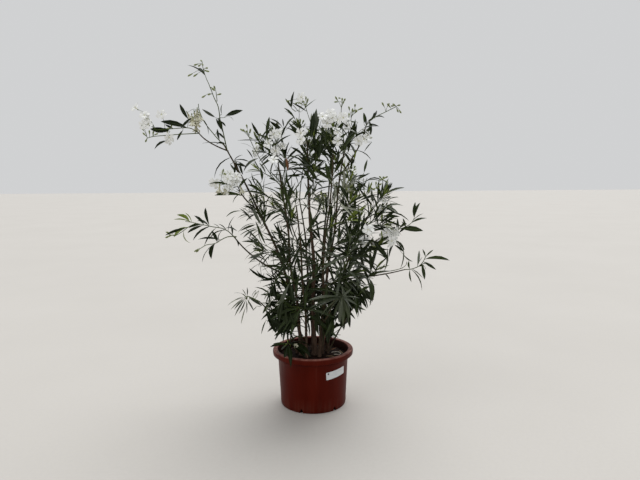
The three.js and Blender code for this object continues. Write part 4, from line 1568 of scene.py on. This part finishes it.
long_spray(
    "bough_rosette",
    stems=[[(0, 0), (1.6, 1.4), (3.2, 2.3)]],
    leaves=[
        (3.2, 2.3, -11.5, 1.8), (3.1, 2.1, -13.8, -6.7), (3.2, 2.5, -7, 5.8), (3.2, 2.1, -0.4, -7.9),
        (3.2, 2.2, 5.8, -10.9), (3.3, 2.2, 3.6, -12), (3.3, 2.3, 8.6, -5.7), (3.3, 2.3, 10.8, 1.7),
        (3.1, 2.2, -9.4, -2.2), (3.1, 2.2, -3.8, -5.4), (3.3, 2.5, 7.2, 6.1), (3.1, 2.3, -12.7, -1.3),
        (3.1, 2.2, -11.5, -4.3), (3.1, 2.1, -6.7, -8.3), (3.2, 2.1, 1.9, -10.1), (3.3, 2.3, 9.9, -2.1),
        (3.3, 2.2, 7.1, -8.7), (3.2, 2.5, -1.5, 6.9), (3.3, 2.5, 3.1, 7.3),
    ],
    drift=-0.062,
    slim=0.8,
    tint="dull",
)
long_spray(
    "cane_sucker",
    stems=[[(0.2, 0), (0.3, 1.6), (0.1, 2.9)]],
    drift=-0.03,
)

# What hangs and lies about the pot's mouth: the sucker's broad old leaves, one of them over the
# rim, a tuft of new ones, and dead leaves that have fallen on the soil. Base and tip in
# millimetres, tint and slimness, and for a leaf that arches the place in its middle.
MOUTH_LEAVES = [
    ((-119, -96, 322), (-206, -100, 312), "deep", 1.35),
    ((-119, -98, 326), (-188, -130, 338), "mature", 1.1),
    ((-118, -94, 328), (-114, -80, 402), "deep", 1.0),
    ((-118, -94, 328), (-134, -85, 388), "mature", 0.9),
    ((-117, -96, 328), (-62, -100, 368), "mature", 1.0),
    ((-116, -100, 322), (-100, -206, 245), "deep", 1.0, (-105, -185, 301)),
    ((-116, -92, 326), (-8, -118, 266), "deep", 1.9),
    ((-116, -90, 324), (-36, -126, 262), "deep", 1.8),
    ((-117, -86, 326), (-10, -60, 300), "deep", 1.7),
    ((-120, -92, 320), (-160, -50, 272), "deep", 1.5),
    ((-120, -100, 318), (-135, -150, 268), "deep", 1.4),
    ((-119, -100, 330), (-128, -128, 334), "young", 1.0),
    ((-119, -100, 330), (-104, -130, 322), "young", 1.0),
    ((-119, -99, 330), (-118, -112, 352), "young", 1.0),
    ((-119, -100, 329), (-138, -118, 318), "young", 1.0),
    ((-62, -60, 297), (-22, -118, 254), "tan", 1.3),
    ((62, -62, 252), (118, -88, 251), "tan", 0.9),
    ((118, 52, 256), (86, 22, 252), "rusty", 0.8),
    ((132, 20, 254), (152, -30, 250), "tan", 0.6),
    ((-70, 90, 252), (-118, 62, 252), "tan", 0.9),
    ((10, 130, 253), (62, 120, 252), "rusty", 0.8),
    ((-20, -136, 250), (30, -146, 250), "rusty", 0.7),
]
# Broad old leaves hang from the front canes, from 30 cm above the soil nearly down to it.
HANGING_LEAVES = [
    ((46, -110, 512), (31, -132, 376), "deep", 1.5),
    ((64, -105, 524), (84, -130, 366), "deep", 1.5),
    ((56, -95, 494), (60, -115, 342), "deep", 1.6),
    ((34, -110, 552), (44, -140, 420), "deep", 1.4),
    ((72, -90, 500), (98, -110, 372), "mature", 1.3),
    ((50, -80, 440), (74, -85, 318), "deep", 1.5),
    ((40, -75, 430), (46, -90, 306), "deep", 1.4),
    ((-20, -60, 462), (-18, -80, 372), "deep", 1.0),
    ((98, 20, 330), (76, 0, 395), "mature", 1.5),
    ((98, 20, 325), (92, -20, 405), "deep", 1.3),
]
canes = [limbs[node] for node in limbs if node.startswith("cane_")]
for base, *_ in HANGING_LEAVES:
    _, held, _ = nearest_on(canes, from_mm(base))
    short_twig(held, 0.0014, from_mm(base), 0.01)
for base, end, tint, slim, *middle in MOUTH_LEAVES + HANGING_LEAVES:
    draw_leaf(from_mm(base), from_mm(end), tint, slim, from_mm(middle[0]) if middle else None)
blooms.append({
    "place": Vector((-0.085, -0.112, 0.312)), "facing": Vector((0.3, -0.6, 0.7)).normalized(),
    "kind": "spent", "size": 0.8,
})
BARE_TWIGS = [
    [(71, 40, 290), (88, 4, 338), (118, -28, 366), (150, -48, 402)],
    [(88, 4, 338), (112, -12, 344), (136, -40, 352)],
    [(-50, 26, 330), (-72, 4, 358), (-98, -10, 362)],
    [(-54, -20, 318), (-78, -34, 346), (-106, -40, 350), (-128, -46, 366)],
]
dead_twigs = []
for twig in BARE_TWIGS:
    radii = [0.0019 - 0.0003 * k for k in range(len(twig))]
    dead_twigs.append(flowing([from_mm(spot) for spot in twig], radii, 0.01))

# Sprays behind the crown, which the picture doesn't show, by the rule alone.
BACK_SPRAYS = {
    "bough_back_left_spray": [
        (-150, 400, 985), (-178, 452, 1020), (-120, 420, 1040), (-200, 400, 960),
    ],
    "bough_back_right_spray": [
        (215, 400, 1130), (232, 445, 1165), (180, 410, 1180), (262, 385, 1110),
    ],
}
for limb, ends in BACK_SPRAYS.items():
    for end in ends:
        spot = from_mm(end)
        aim = (spot - limbs[limb][0][-1]).normalized()
        grown = grow_shoot(wood, {"spot": spot, "aim": aim, "tier": "upper", "kind": "leaves", "tuft": 0.0})
        if grown:
            shoots.append(grown)

# Each shoot takes one shade, so that colour changes from spray to spray as on the plant. About
# half of the upper ones have yellow-green new growth. Some at the back and the sides end in flowers.
TINT_SHARES = {
    "low": (("deep", 0.66), ("mature", 0.26), ("dull", 0.08)),
    "middle": (("deep", 0.42), ("mature", 0.38), ("dull", 0.20)),
    # The pale leaves in the two highest tiers are a painted sheen of reflected light.
    "upper": (("deep", 0.40), ("mature", 0.38), ("dull", 0.18), ("pale", 0.04)),
    "top": (("deep", 0.38), ("mature", 0.42), ("dull", 0.16), ("pale", 0.04)),
}
NEW_GROWTH_SHARE = {"low": 0.10, "middle": 0.34, "upper": 0.60, "top": 0.55}
# The right of the middle tiers has most new growth.
BRIGHT_FROM = 0.12
BRIGHT_HEIGHTS = (0.88, 1.25)
BRIGHT_SHARE = 0.45
FLOWERING_SHARE = 0.16
FLOWERS_ABOVE = 0.75
BACK_FROM = 0.03
SIDES_FROM = 0.26
BUDS_ABOVE = 1.0
BUD_SHARE = 0.22
LEAFY_ENDS = {"buds": 0.05, "bare": 0.02}
PAIRED_FLOWERS = 0.18


def pick(shares):
    mark = growth.random()
    for name, share in shares:
        mark -= share
        if mark < 0:
            return name
    return shares[0][0]


for shoot in shoots:
    shoot["tint"] = pick(TINT_SHARES[shoot["tier"]])
    spot = shoot["spot"]
    shoot["fresh"] = 2 if growth.random() < NEW_GROWTH_SHARE[shoot["tier"]] else 0
    bright = spot.x > BRIGHT_FROM and BRIGHT_HEIGHTS[0] < spot.z < BRIGHT_HEIGHTS[1]
    if bright and growth.random() < BRIGHT_SHARE:
        shoot["fresh"] = 3
    behind = spot.y > BACK_FROM or abs(spot.x - PLANT_MIDDLE) > SIDES_FROM
    can_flower = shoot["kind"] == "leaves" and behind and spot.z > FLOWERS_ABOVE
    if can_flower and growth.random() < FLOWERING_SHARE:
        shoot["kind"] = "flowers"
    if shoot["kind"] == "flowers":
        cyme(shoot, growth.randint(2, 4), growth.randint(3, 6))
    elif shoot["kind"] == "buds":
        cyme(shoot, 0, growth.randint(4, 7))
    elif spot.z > BUDS_ABOVE and growth.random() < BUD_SHARE:
        cyme(shoot, 0, growth.randint(2, 5))
    leafy = LEAFY_ENDS.get(shoot["kind"], shoot["leafy"])
    bare_tip = shoot["kind"] != "leaves" or shoot["tier"] == "low"
    lay_whorls(shoot["line"], leafy, shoot, growth, 2 if bare_tip else growth.choice((0, 1, 1, 2)))
shoot_wood = [(shoot["line"], shoot["radii"]) for shoot in shoots]
for x, z in SEEN_FLOWERS:
    spot = front_place(x, z, -0.006)
    _, held, radius = nearest_on(shoot_wood, spot + Vector((0, 0.02, -0.02)))
    hold_bloom(held, radius, spot, "flower")
    if loose.random() < PAIRED_FLOWERS:
        beside = Vector((loose.gauss(0, 0.020), loose.uniform(-0.012, 0.03), loose.gauss(0, 0.020)))
        hold_bloom(held, radius, spot + beside, "flower")
# One dead leaf still hangs among the flowers on the left.
hanging = front_place(-115, 1215)
_, held, _ = nearest_on(shoot_wood, hanging)
stalks.append(([held, hanging], [0.0010, 0.0008]))
draw_leaf(hanging, hanging + Vector((0.008, -0.006, -0.060)), "rusty", 1.5, upper=Vector((0.2, -1, 0.2)))

# Leaves and blossom that the picture shows singly at the crown's edges and over its front, as
# pixels of the picture: across and down for the base, the place that it arches over if any, and
# the tip. Each is held by a short twig from the nearest wood.
PICTURE_WIDE, PICTURE_HIGH = 640, 480
LENS_PIXELS = LENS_MM / PICTURE_WIDTH_MM * PICTURE_WIDE
SEEN_LEAVES = [
    # Most of the first six groups stand at the crown's left edge.
    ("deep", 0.8, [
        (259, 140.5, 237, 140.5), (253, 159, 246.5, 149), (236, 160, 249, 162.5), (257, 181, 262, 186.5),
        (247, 178, 252.5, 187), (258, 222, 247, 203), (256, 213, 248, 196), (262, 210, 256.5, 196),
        (264, 226, 260, 208), (276, 222, 282, 216, 287.5, 224), (261, 263, 254, 266, 248.3, 273),
        (264, 273, 260, 284), (250.5, 191, 245, 192.5),
    ]),
    ("deep", 0.9, [
        (236, 161, 246, 167), (237, 164, 242.5, 173), (252, 219.5, 239.3, 208.2),
        (255, 223, 250, 219.7, 237.5, 233.5), (260.5, 233, 254, 237, 249.7, 243.5), (252, 231, 249.5, 238),
        (250, 219, 241, 211.5),
    ]),
    ("mature", 0.75, [
        (252, 148, 247.5, 143.5, 240, 143.2), (243.5, 197, 233, 190.5), (243.5, 197, 235.5, 188.5),
        (244, 198, 241, 187), (254.5, 199, 250, 196, 245.5, 195), (261, 220, 254, 200.5),
        (263, 224, 267, 206), (262, 210, 260, 197), (258, 227, 239.5, 235.5), (257, 249, 252, 245),
        (253.5, 251.5, 258, 245), (266, 320, 261.3, 334.5),
    ]),
    ("mature", 1.2, [
        (235.5, 161, 238, 174), (262, 181, 260, 167), (230, 164, 236, 172), (254, 243, 260, 247),
    ]),
    ("dull", 0.9, [
        (256, 224.5, 240, 231), (258, 228.5, 243, 238), (259.5, 230.5, 251, 236.5),
        (259.5, 261.5, 252, 261, 247, 264), (289.5, 283, 277.5, 314.5), (258, 180, 250.5, 180),
        (386, 194.5, 394, 190, 404, 188), (358, 122, 350, 122, 344, 120), (351, 255, 319, 272),
        (403, 254, 408, 260, 413, 261.5),
    ]),
    ("dull", 1.15, [
        (258.5, 158, 243.5, 172.5), (268, 154, 259, 162), (262, 226, 256, 217, 252, 206),
        (247.5, 296, 262, 306), (285, 129, 290, 119.5, 295, 116.5), (340, 129.5, 350, 129, 358, 134),
        (349, 148, 341, 155), (371, 190, 372.5, 202), (312, 135, 316.5, 108.5),
    ]),
    # The tuft low on the left, and the thin pale and broad dark leaves that hang beside it. The thin ones'
    # pale tint is a painted glow of light shining through them.
    ("pale", 0.6, [
        (244, 298, 236, 299, 227.2, 306), (244, 298, 230.3, 310), (257, 306, 252.5, 310.5),
        (259, 290.5, 252.5, 297.5), (273, 307, 269, 313.5), (270, 289, 264, 300), (272.5, 297, 265.5, 312),
        (280, 300, 275, 306.5), (246, 306, 241, 324.5),
    ]),
    ("dull", 0.7, [
        (244.5, 299, 234, 310), (245, 299, 234.5, 316.5), (244.5, 297, 231, 303), (245.5, 300, 238.5, 314),
        (246, 300, 246.5, 314), (247, 299, 254, 311), (243, 294, 234, 293),
    ]),
    ("mature", 1.0, [
        (246, 296, 242, 289), (247, 296, 247, 287), (246, 298, 241, 293.5), (256, 290, 251.5, 297),
    ]),
    ("deep", 1.1, [
        (265.5, 309, 275.5, 333), (278.5, 316, 282, 335.5), (286, 309, 286.5, 326), (290, 313, 294.8, 326),
        (275.5, 316, 275.5, 324), (268, 300, 271, 322), (283, 300, 279, 322), (322, 312, 320, 341),
        (328, 313, 326, 343), (334, 316, 331, 340), (319, 322, 323, 345), (306, 318, 309, 338),
        (340, 308, 344, 330), (347, 305, 350, 328),
    ]),
    # Mostly along the top and over the front.
    ("deep", 1.05, [
        (291.5, 108.5, 294.3, 91), (260, 137, 251.5, 122), (283, 128, 270, 118.5), (369, 120, 371, 135),
        (363, 128.5, 378, 126.5), (320, 160, 313, 133), (344, 152, 351, 163), (339, 184, 348.5, 199.5),
    ]),
    ("deep", 1.3, [(284, 131, 269.5, 121), (291, 284, 294, 304), (399, 233, 407.5, 226.5)]),
    ("deep", 0.9, [
        (284, 127, 282.5, 118.5), (300, 120, 285, 131), (326, 118.5, 333, 122), (363, 130, 370.5, 137.5),
        (354, 150, 363, 152, 371.5, 160.5), (346, 152, 356, 164), (368, 273, 360, 262),
        (384, 273, 390, 280), (395, 240.5, 404.8, 250), (375, 253.5, 381, 254.5, 387.5, 261),
        (397.5, 232, 397, 222), (407, 228, 401.5, 221.5),
    ]),
    ("mature", 1.1, [
        (292, 108.5, 285, 98.5), (297, 134, 302, 126, 308, 124.5), (364, 124, 363.5, 112.5),
        (342, 150, 356, 133), (380, 270, 385, 264), (386, 199, 392, 196.7), (379.5, 250, 388, 259),
        (357, 194, 352, 185), (266, 135, 269.5, 116.5), (364, 173, 367.5, 159.3), (359.5, 191, 359, 180),
    ]),
    ("mature", 0.6, [(301, 112, 308, 104, 317, 98.5), (345, 190, 352, 197)]),
    # The right edge.
    ("deep", 1.15, [
        (361, 184, 371, 179, 381.5, 181.5), (384.3, 195, 392.5, 182.7), (394, 244.5, 404, 252),
        (373, 240, 388.7, 258.8), (369.5, 250, 370, 270),
    ]),
    # The two tall shoots at the left, and last the bright new tips on the right.
    ("deep", 1.1, [
        (167.5, 140.5, 154.5, 149.5), (220, 119, 222, 131), (237, 161, 234, 175), (240, 163, 243, 175),
    ]),
    ("deep", 1.35, [
        (183, 130, 177, 140.5), (225.5, 115.7, 243, 110.3), (216, 119, 221, 129.5),
        (220.5, 121, 225.8, 126.5), (217, 132, 224.5, 139), (170, 131, 150, 129),
    ]),
    ("dull", 1.2, [(215.5, 117.5, 202, 109), (221.8, 114, 222.6, 103.5)]),
    ("young", 0.9, [
        (371, 212, 370, 203), (388, 227, 396, 221), (386, 228, 391, 223), (381, 222, 382.5, 213),
        (382, 238, 381, 230), (362, 199, 366, 191), (352, 206, 358, 202),
    ]),
]
# Dark leaves that cross before the flowers at the top.
LEAVES_BEFORE_FLOWERS = [
    (318, 130, 303, 127), (319, 160, 322, 136), (311, 140, 314, 112), (326, 146, 320, 124),
    (344, 146, 356, 131), (352, 132, 343, 123), (334, 128, 345, 136), (281, 138, 287, 124),
    (264, 141, 272, 127), (284, 156, 276, 143), (330, 140, 336, 152), (372, 142, 364, 152),
]
BEFORE_FLOWERS = 0.045
SEEN_BLOOMS = {
    "flower": [(302.5, 98), (386.5, 233), (368.5, 230)],
    "bud": [
        (299, 102), (305, 103.5), (296.5, 102), (288.5, 100), (383.5, 177.5), (382, 178.5), (376, 183),
        (379.5, 184), (372, 188), (355, 105), (356, 109), (359.5, 108.5), (349, 115), (339.5, 97),
        (336.5, 101),
    ],
}


def seen_at(across, down, depth=None, nearer=0.0):
    """The place that the picture shows at a pixel: on the crown's front, or at a depth if given."""
    right_part = picture_right * ((across - PICTURE_WIDE / 2) / LENS_PIXELS)
    up_part = picture_up * ((PICTURE_HIGH / 2 - down) / LENS_PIXELS)
    sight = (ahead + right_part + up_part).normalized()
    if depth is not None:
        return EYE + sight * ((depth - EYE.y) / sight.y)
    return EYE + sight * (on_crown(sight, -EYE.y / sight.y) + 0.012 - nearer)


all_wood = shoot_wood + list(limbs.values()) + stalks[:]
for tint, slim, shown in SEEN_LEAVES + [("deep", 0.95, LEAVES_BEFORE_FLOWERS)]:
    nearer = BEFORE_FLOWERS if shown is LEAVES_BEFORE_FLOWERS else 0.0
    for leaf in shown:
        spots = pairs(leaf)
        base = seen_at(*spots[0], nearer=nearer)
        gap, held, radius = nearest_on(all_wood, base)
        short_twig(held, min(radius, 0.0012), base, -0.15 * gap)
        length = (seen_at(*spots[-1], base.y) - base).length
        end = seen_at(*spots[-1], base.y + loose.uniform(-0.25, 0.25) * length)
        middle = seen_at(*spots[1], base.y) if len(spots) > 2 else None
        # A leaf that looks broad in the picture has its upper side turned to the eye.
        upper = Vector((loose.gauss(0, 0.2), -0.9, 0.45)) if slim > 1.0 or tint == "pale" else None
        draw_leaf(base, end, tint, slim * (0.8 if middle else 1), middle, upper)
for kind, shown in SEEN_BLOOMS.items():
    for across, down in shown:
        spot = seen_at(across, down)
        _, held, radius = nearest_on(all_wood, spot)
        hold_bloom(held, radius, spot, kind)
for leaf in drawn_leaves:
    upper = leaf["upper"] or Vector((loose.gauss(0, 0.25), loose.gauss(-0.15, 0.4), 1.0))
    add_leaf(leaf["base"], leaf["end"], upper, leaf["tint"], loose, leaf["middle"], leaf["slim"])

leaf_shelf = form_shelf("leaf_forms", [leaf_blank(form) for form in LEAF_FORMS])
for tint, (low, high) in LEAF_TINTS.items():
    chosen = [leaf for leaf in leaves if leaf["tint"] == tint]
    pale = tuple(part * 1.35 + 0.012 for part in high)
    rib = tuple(part * 1.6 + 0.035 for part in high)
    scattered(f"leaves_{tint}", chosen, leaf_shelf, [
        leaf_finish(f"leaf_{tint}_upper", low, high, 0.40, 0.35, LEAF_SHINE.get(tint, 0.0)),
        leaf_finish(f"leaf_{tint}_lower", high, pale, 0.58, 0.25),
        leaf_finish(f"leaf_{tint}_rib", pale, rib, 0.50, 0.20),
    ])

# Twigs: the wood of all the shoots, green and smooth at the tips and browner towards the boughs,
# and the thin green stalks that hold flowers, buds and the odd leaf.
TWIG_SIDES = 8
STALK_SIDES = 6
twig_bark = bark_finish("twig_bark", (0.080, 0.066, 0.038), (0.070, 0.095, 0.030), (0.042, 0.040, 0.020))
stalk_skin = leaf_finish("stalk_skin", (0.040, 0.060, 0.015), (0.085, 0.110, 0.030), 0.5, 0.2)
for piece in (
    skinned("twigs", shoot_wood + dead_twigs, TWIG_SIDES, twig_bark, 0.20, 0.30),
    skinned("stalks", stalks, STALK_SIDES, stalk_skin, 0.10, 0.0),
):
    fasten(piece, "foliage", *LEAF_CLAIMS)

# The pale strip is a dry leaf rolled up lengthwise, bent double on the soil.
STRIP = [
    (93, -6, 252.5), (112, -4, 254.5), (131, -13, 255), (139, -27, 254), (128, -37, 252), (104, -33, 251.5),
]
strip_skin = leaf_finish("dry_strip", (0.42, 0.37, 0.30), (0.58, 0.53, 0.45), 0.6, 0.3)
strip_line = flowing([from_mm(spot) for spot in STRIP], [0.0016] * len(STRIP), 0.004)
strip = skinned("dry_strip", [strip_line], STALK_SIDES, strip_skin, 0.4, 0.0)
fasten(strip, "potting_soil", "potting_soil")

# Flowers: five petals set askew like a pinwheel on a narrow tube, with a small green cup of
# sepals. Fresh ones are white with a faint cream throat. Spent ones hang, shrunk and tan.
PETAL_RADIUS = 0.0225
PETAL_THICK = 0.0004
PETAL_ALONG = (0.0, 0.30, 0.62, 0.88, 1.0)
PETAL_HALF_WIDTHS = (0.0016, 0.0048, 0.0086, 0.0078, 0.0042)
PETALS = 5
TUBE_LENGTH = 0.017
TUBE_END = (0.0040, TUBE_LENGTH + 0.0005)
TUBE = ((0, 0.001), (0.0011, 0.002), (0.0018, 0.009), TUBE_END, (0, TUBE_LENGTH - 0.002))
GREEN_CUP = ((0, -0.001), (0.0011, 0.0), (0.0021, 0.003), (0.0019, 0.0062), (0, 0.0066))
LASH = (
    ((-0.0009, 0.0030, 0.0), (0.0, 0.0034, 0.0), (0.0009, 0.0030, 0.0)),
    ((-0.0004, 0.0024, 0.0042), (0.0, 0.0026, 0.0048), (0.0004, 0.0024, 0.0042)),
)
# A bud of unit length, radius and height. Its lowest quarter is the green cup.
BUD = (
    (0, 0.0), (0.045, 0.02), (0.070, 0.20), (0.062, 0.30),
    (0.105, 0.52), (0.100, 0.74), (0.045, 0.92), (0, 1.0),
)
BUD_CUP = 0.25
BUD_LENGTH = 0.021
BUD_WIDTH = 0.040


def closed_sheet(rows, thickness):
    """Corners and faces of a thin closed sheet over rows of points."""
    corners = []
    count = len(rows) * len(rows[0])
    wide = len(rows[0])
    for lift in (0, -thickness):
        corners += [(x, y, z + lift) for row in rows for x, y, z in row]
    faces = []
    for r in range(len(rows) - 1):
        for c in range(wide - 1):
            a = r * wide + c
            faces.append((a, a + 1, a + wide + 1, a + wide))
            faces.append((count + a, count + a + wide, count + a + wide + 1, count + a + 1))
    edge = list(range(wide)) + [r * wide + wide - 1 for r in range(1, len(rows))]
    edge += [(len(rows) - 1) * wide + c for c in range(wide - 2, -1, -1)]
    edge += [r * wide for r in range(len(rows) - 2, 0, -1)]
    for k, a in enumerate(edge):
        b = edge[(k + 1) % len(edge)]
        faces.append((a, count + a, count + b, b))
    return corners, faces


def petal_rows(fade, rng):
    """Rows of points of one petal, from the throat to its end. Fade folds and crumples it."""
    rows = []
    for along, half in zip(PETAL_ALONG, PETAL_HALF_WIDTHS):
        radius = 0.0028 + (PETAL_RADIUS - 0.0028) * along * (1 - 0.45 * fade)
        skew = 0.0046 * along ** 2
        rise = 0.0065 * math.sin(math.pi * min(1, along * 1.1) * 0.55) - 0.0045 * along ** 2
        rise += 0.015 * fade * along
        row = []
        for across in (-1.0, -0.5, 0.0, 0.5, 1.0):
            cup = 0.0014 * abs(across) ** 2 + 0.0016 * across * along
            crumple = fade * rng.uniform(-0.0024, 0.0024) * along
            width = half * (1 - 0.25 * fade)
            row.append((skew + across * width, radius, rise + cup + crumple + rng.uniform(-0.0003, 0.0003)))
        rows.append(row)
    return rows


def bloom_blank(fade, seed):
    """One flower, open along +Z, with its green cup at the origin."""
    rng = random.Random(seed)
    corners = []
    faces = []
    parts = []

    def take(body, part, turn=0.0, up=0.0):
        first = len(corners)
        spin = Matrix.Rotation(turn, 4, "Z")
        corners.extend(tuple(spin @ Vector(c) + Vector((0, 0, up))) for c in body[0])
        faces.extend(tuple(first + v for v in face) for face in body[1])
        parts.extend([part] * len(body[1]))

    for k in range(PETALS):
        turn = math.tau * k / PETALS + rng.uniform(-0.08, 0.08)
        take(closed_sheet(petal_rows(fade, rng), PETAL_THICK), 0, turn, TUBE_LENGTH)
    take(round_body(TUBE, 7), 1)
    take(round_body(GREEN_CUP, 6), 2)
    for k in range(PETALS):
        take(closed_sheet(LASH, 0.0003), 1, math.tau * (k + 0.5) / PETALS, TUBE_LENGTH)
    mesh = form_mesh("bloom_form", corners, faces, parts)
    mesh.set_sharp_from_angle(angle=math.radians(55))
    return mesh


def bud_blank():
    """One closed bud: petals rolled round each other in a slender twisted spindle."""
    corners, faces = round_body(BUD, 5, 0.28)
    parts = [1 if max(corners[v][2] for v in face) < BUD_CUP else 0 for face in faces]
    return form_mesh("bud_form", corners, faces, parts)


def facing_turn(facing, spin):
    """The turn that brings a form's +Z to a facing, spun about it."""
    return facing.to_track_quat("Z", "Y") @ Quaternion((0, 0, 1), spin)


def petal_finish(name, low, high, vein):
    bench = FinishBench(name)
    place = bench.place()
    drift = bench.cloud(place, 60.0, 2.0)
    veins = bench.cloud(place, 420.0, 2.0)
    surface = bench.mix(drift.between(0.3, 0.7), low, high)
    veined = bench.mix(veins.between(0.5, 0.8) * 0.4, surface, vein)
    return bench.closed(veined, 0.55 + veins * 0.1, bench.bump(veins, 0.0003))


def head(bloom, sunk, size, form):
    """One flower or bud, sunk a little into its stalk."""
    place = bloom["place"] - bloom["facing"] * sunk
    turn = facing_turn(bloom["facing"], loose.uniform(0, 6.2))
    return {"place": place, "turn": turn, "size": size, "form": form}


FLOWER_FORMS = 3
# Fade, first seed of the forms, and the colours of petals and throat.
HEADS = {
    "flower": (0.0, 31,
               ("petal_white", (0.78, 0.79, 0.76), (0.86, 0.86, 0.84), (0.72, 0.74, 0.66)),
               ("throat_cream", (0.70, 0.70, 0.50), (0.78, 0.77, 0.60), (0.60, 0.62, 0.36))),
    "spent": (1.0, 41,
              ("petal_spent", (0.50, 0.49, 0.36), (0.66, 0.64, 0.50), (0.26, 0.24, 0.10)),
              ("throat_spent", (0.30, 0.29, 0.15), (0.42, 0.40, 0.24), (0.20, 0.16, 0.06))),
}
cup = petal_finish("sepal_green", (0.10, 0.15, 0.04), (0.15, 0.20, 0.06), (0.20, 0.22, 0.08))
for kind, (fade, seed, petals, throat) in HEADS.items():
    shelf = form_shelf(f"{kind}_forms", [bloom_blank(fade, seed + k) for k in range(FLOWER_FORMS)])
    records = []
    for number, bloom in enumerate(b for b in blooms if b["kind"] == kind):
        records.append(head(bloom, TUBE_LENGTH * 0.5, [bloom["size"]] * 3, number % FLOWER_FORMS))
    scattered(f"{kind}_heads", records, shelf, [petal_finish(*petals), petal_finish(*throat), cup])
bud_sizes = [(BUD_WIDTH, BUD_WIDTH, BUD_LENGTH * bud["size"] * 1.1) for bud in buds]
scattered("flower_buds", [head(bud, 0.001, size, 0) for bud, size in zip(buds, bud_sizes)],
          form_shelf("bud_forms", [bud_blank()]),
          [petal_finish("bud_pale", (0.12, 0.15, 0.040), (0.24, 0.27, 0.095), (0.09, 0.11, 0.025)), cup])
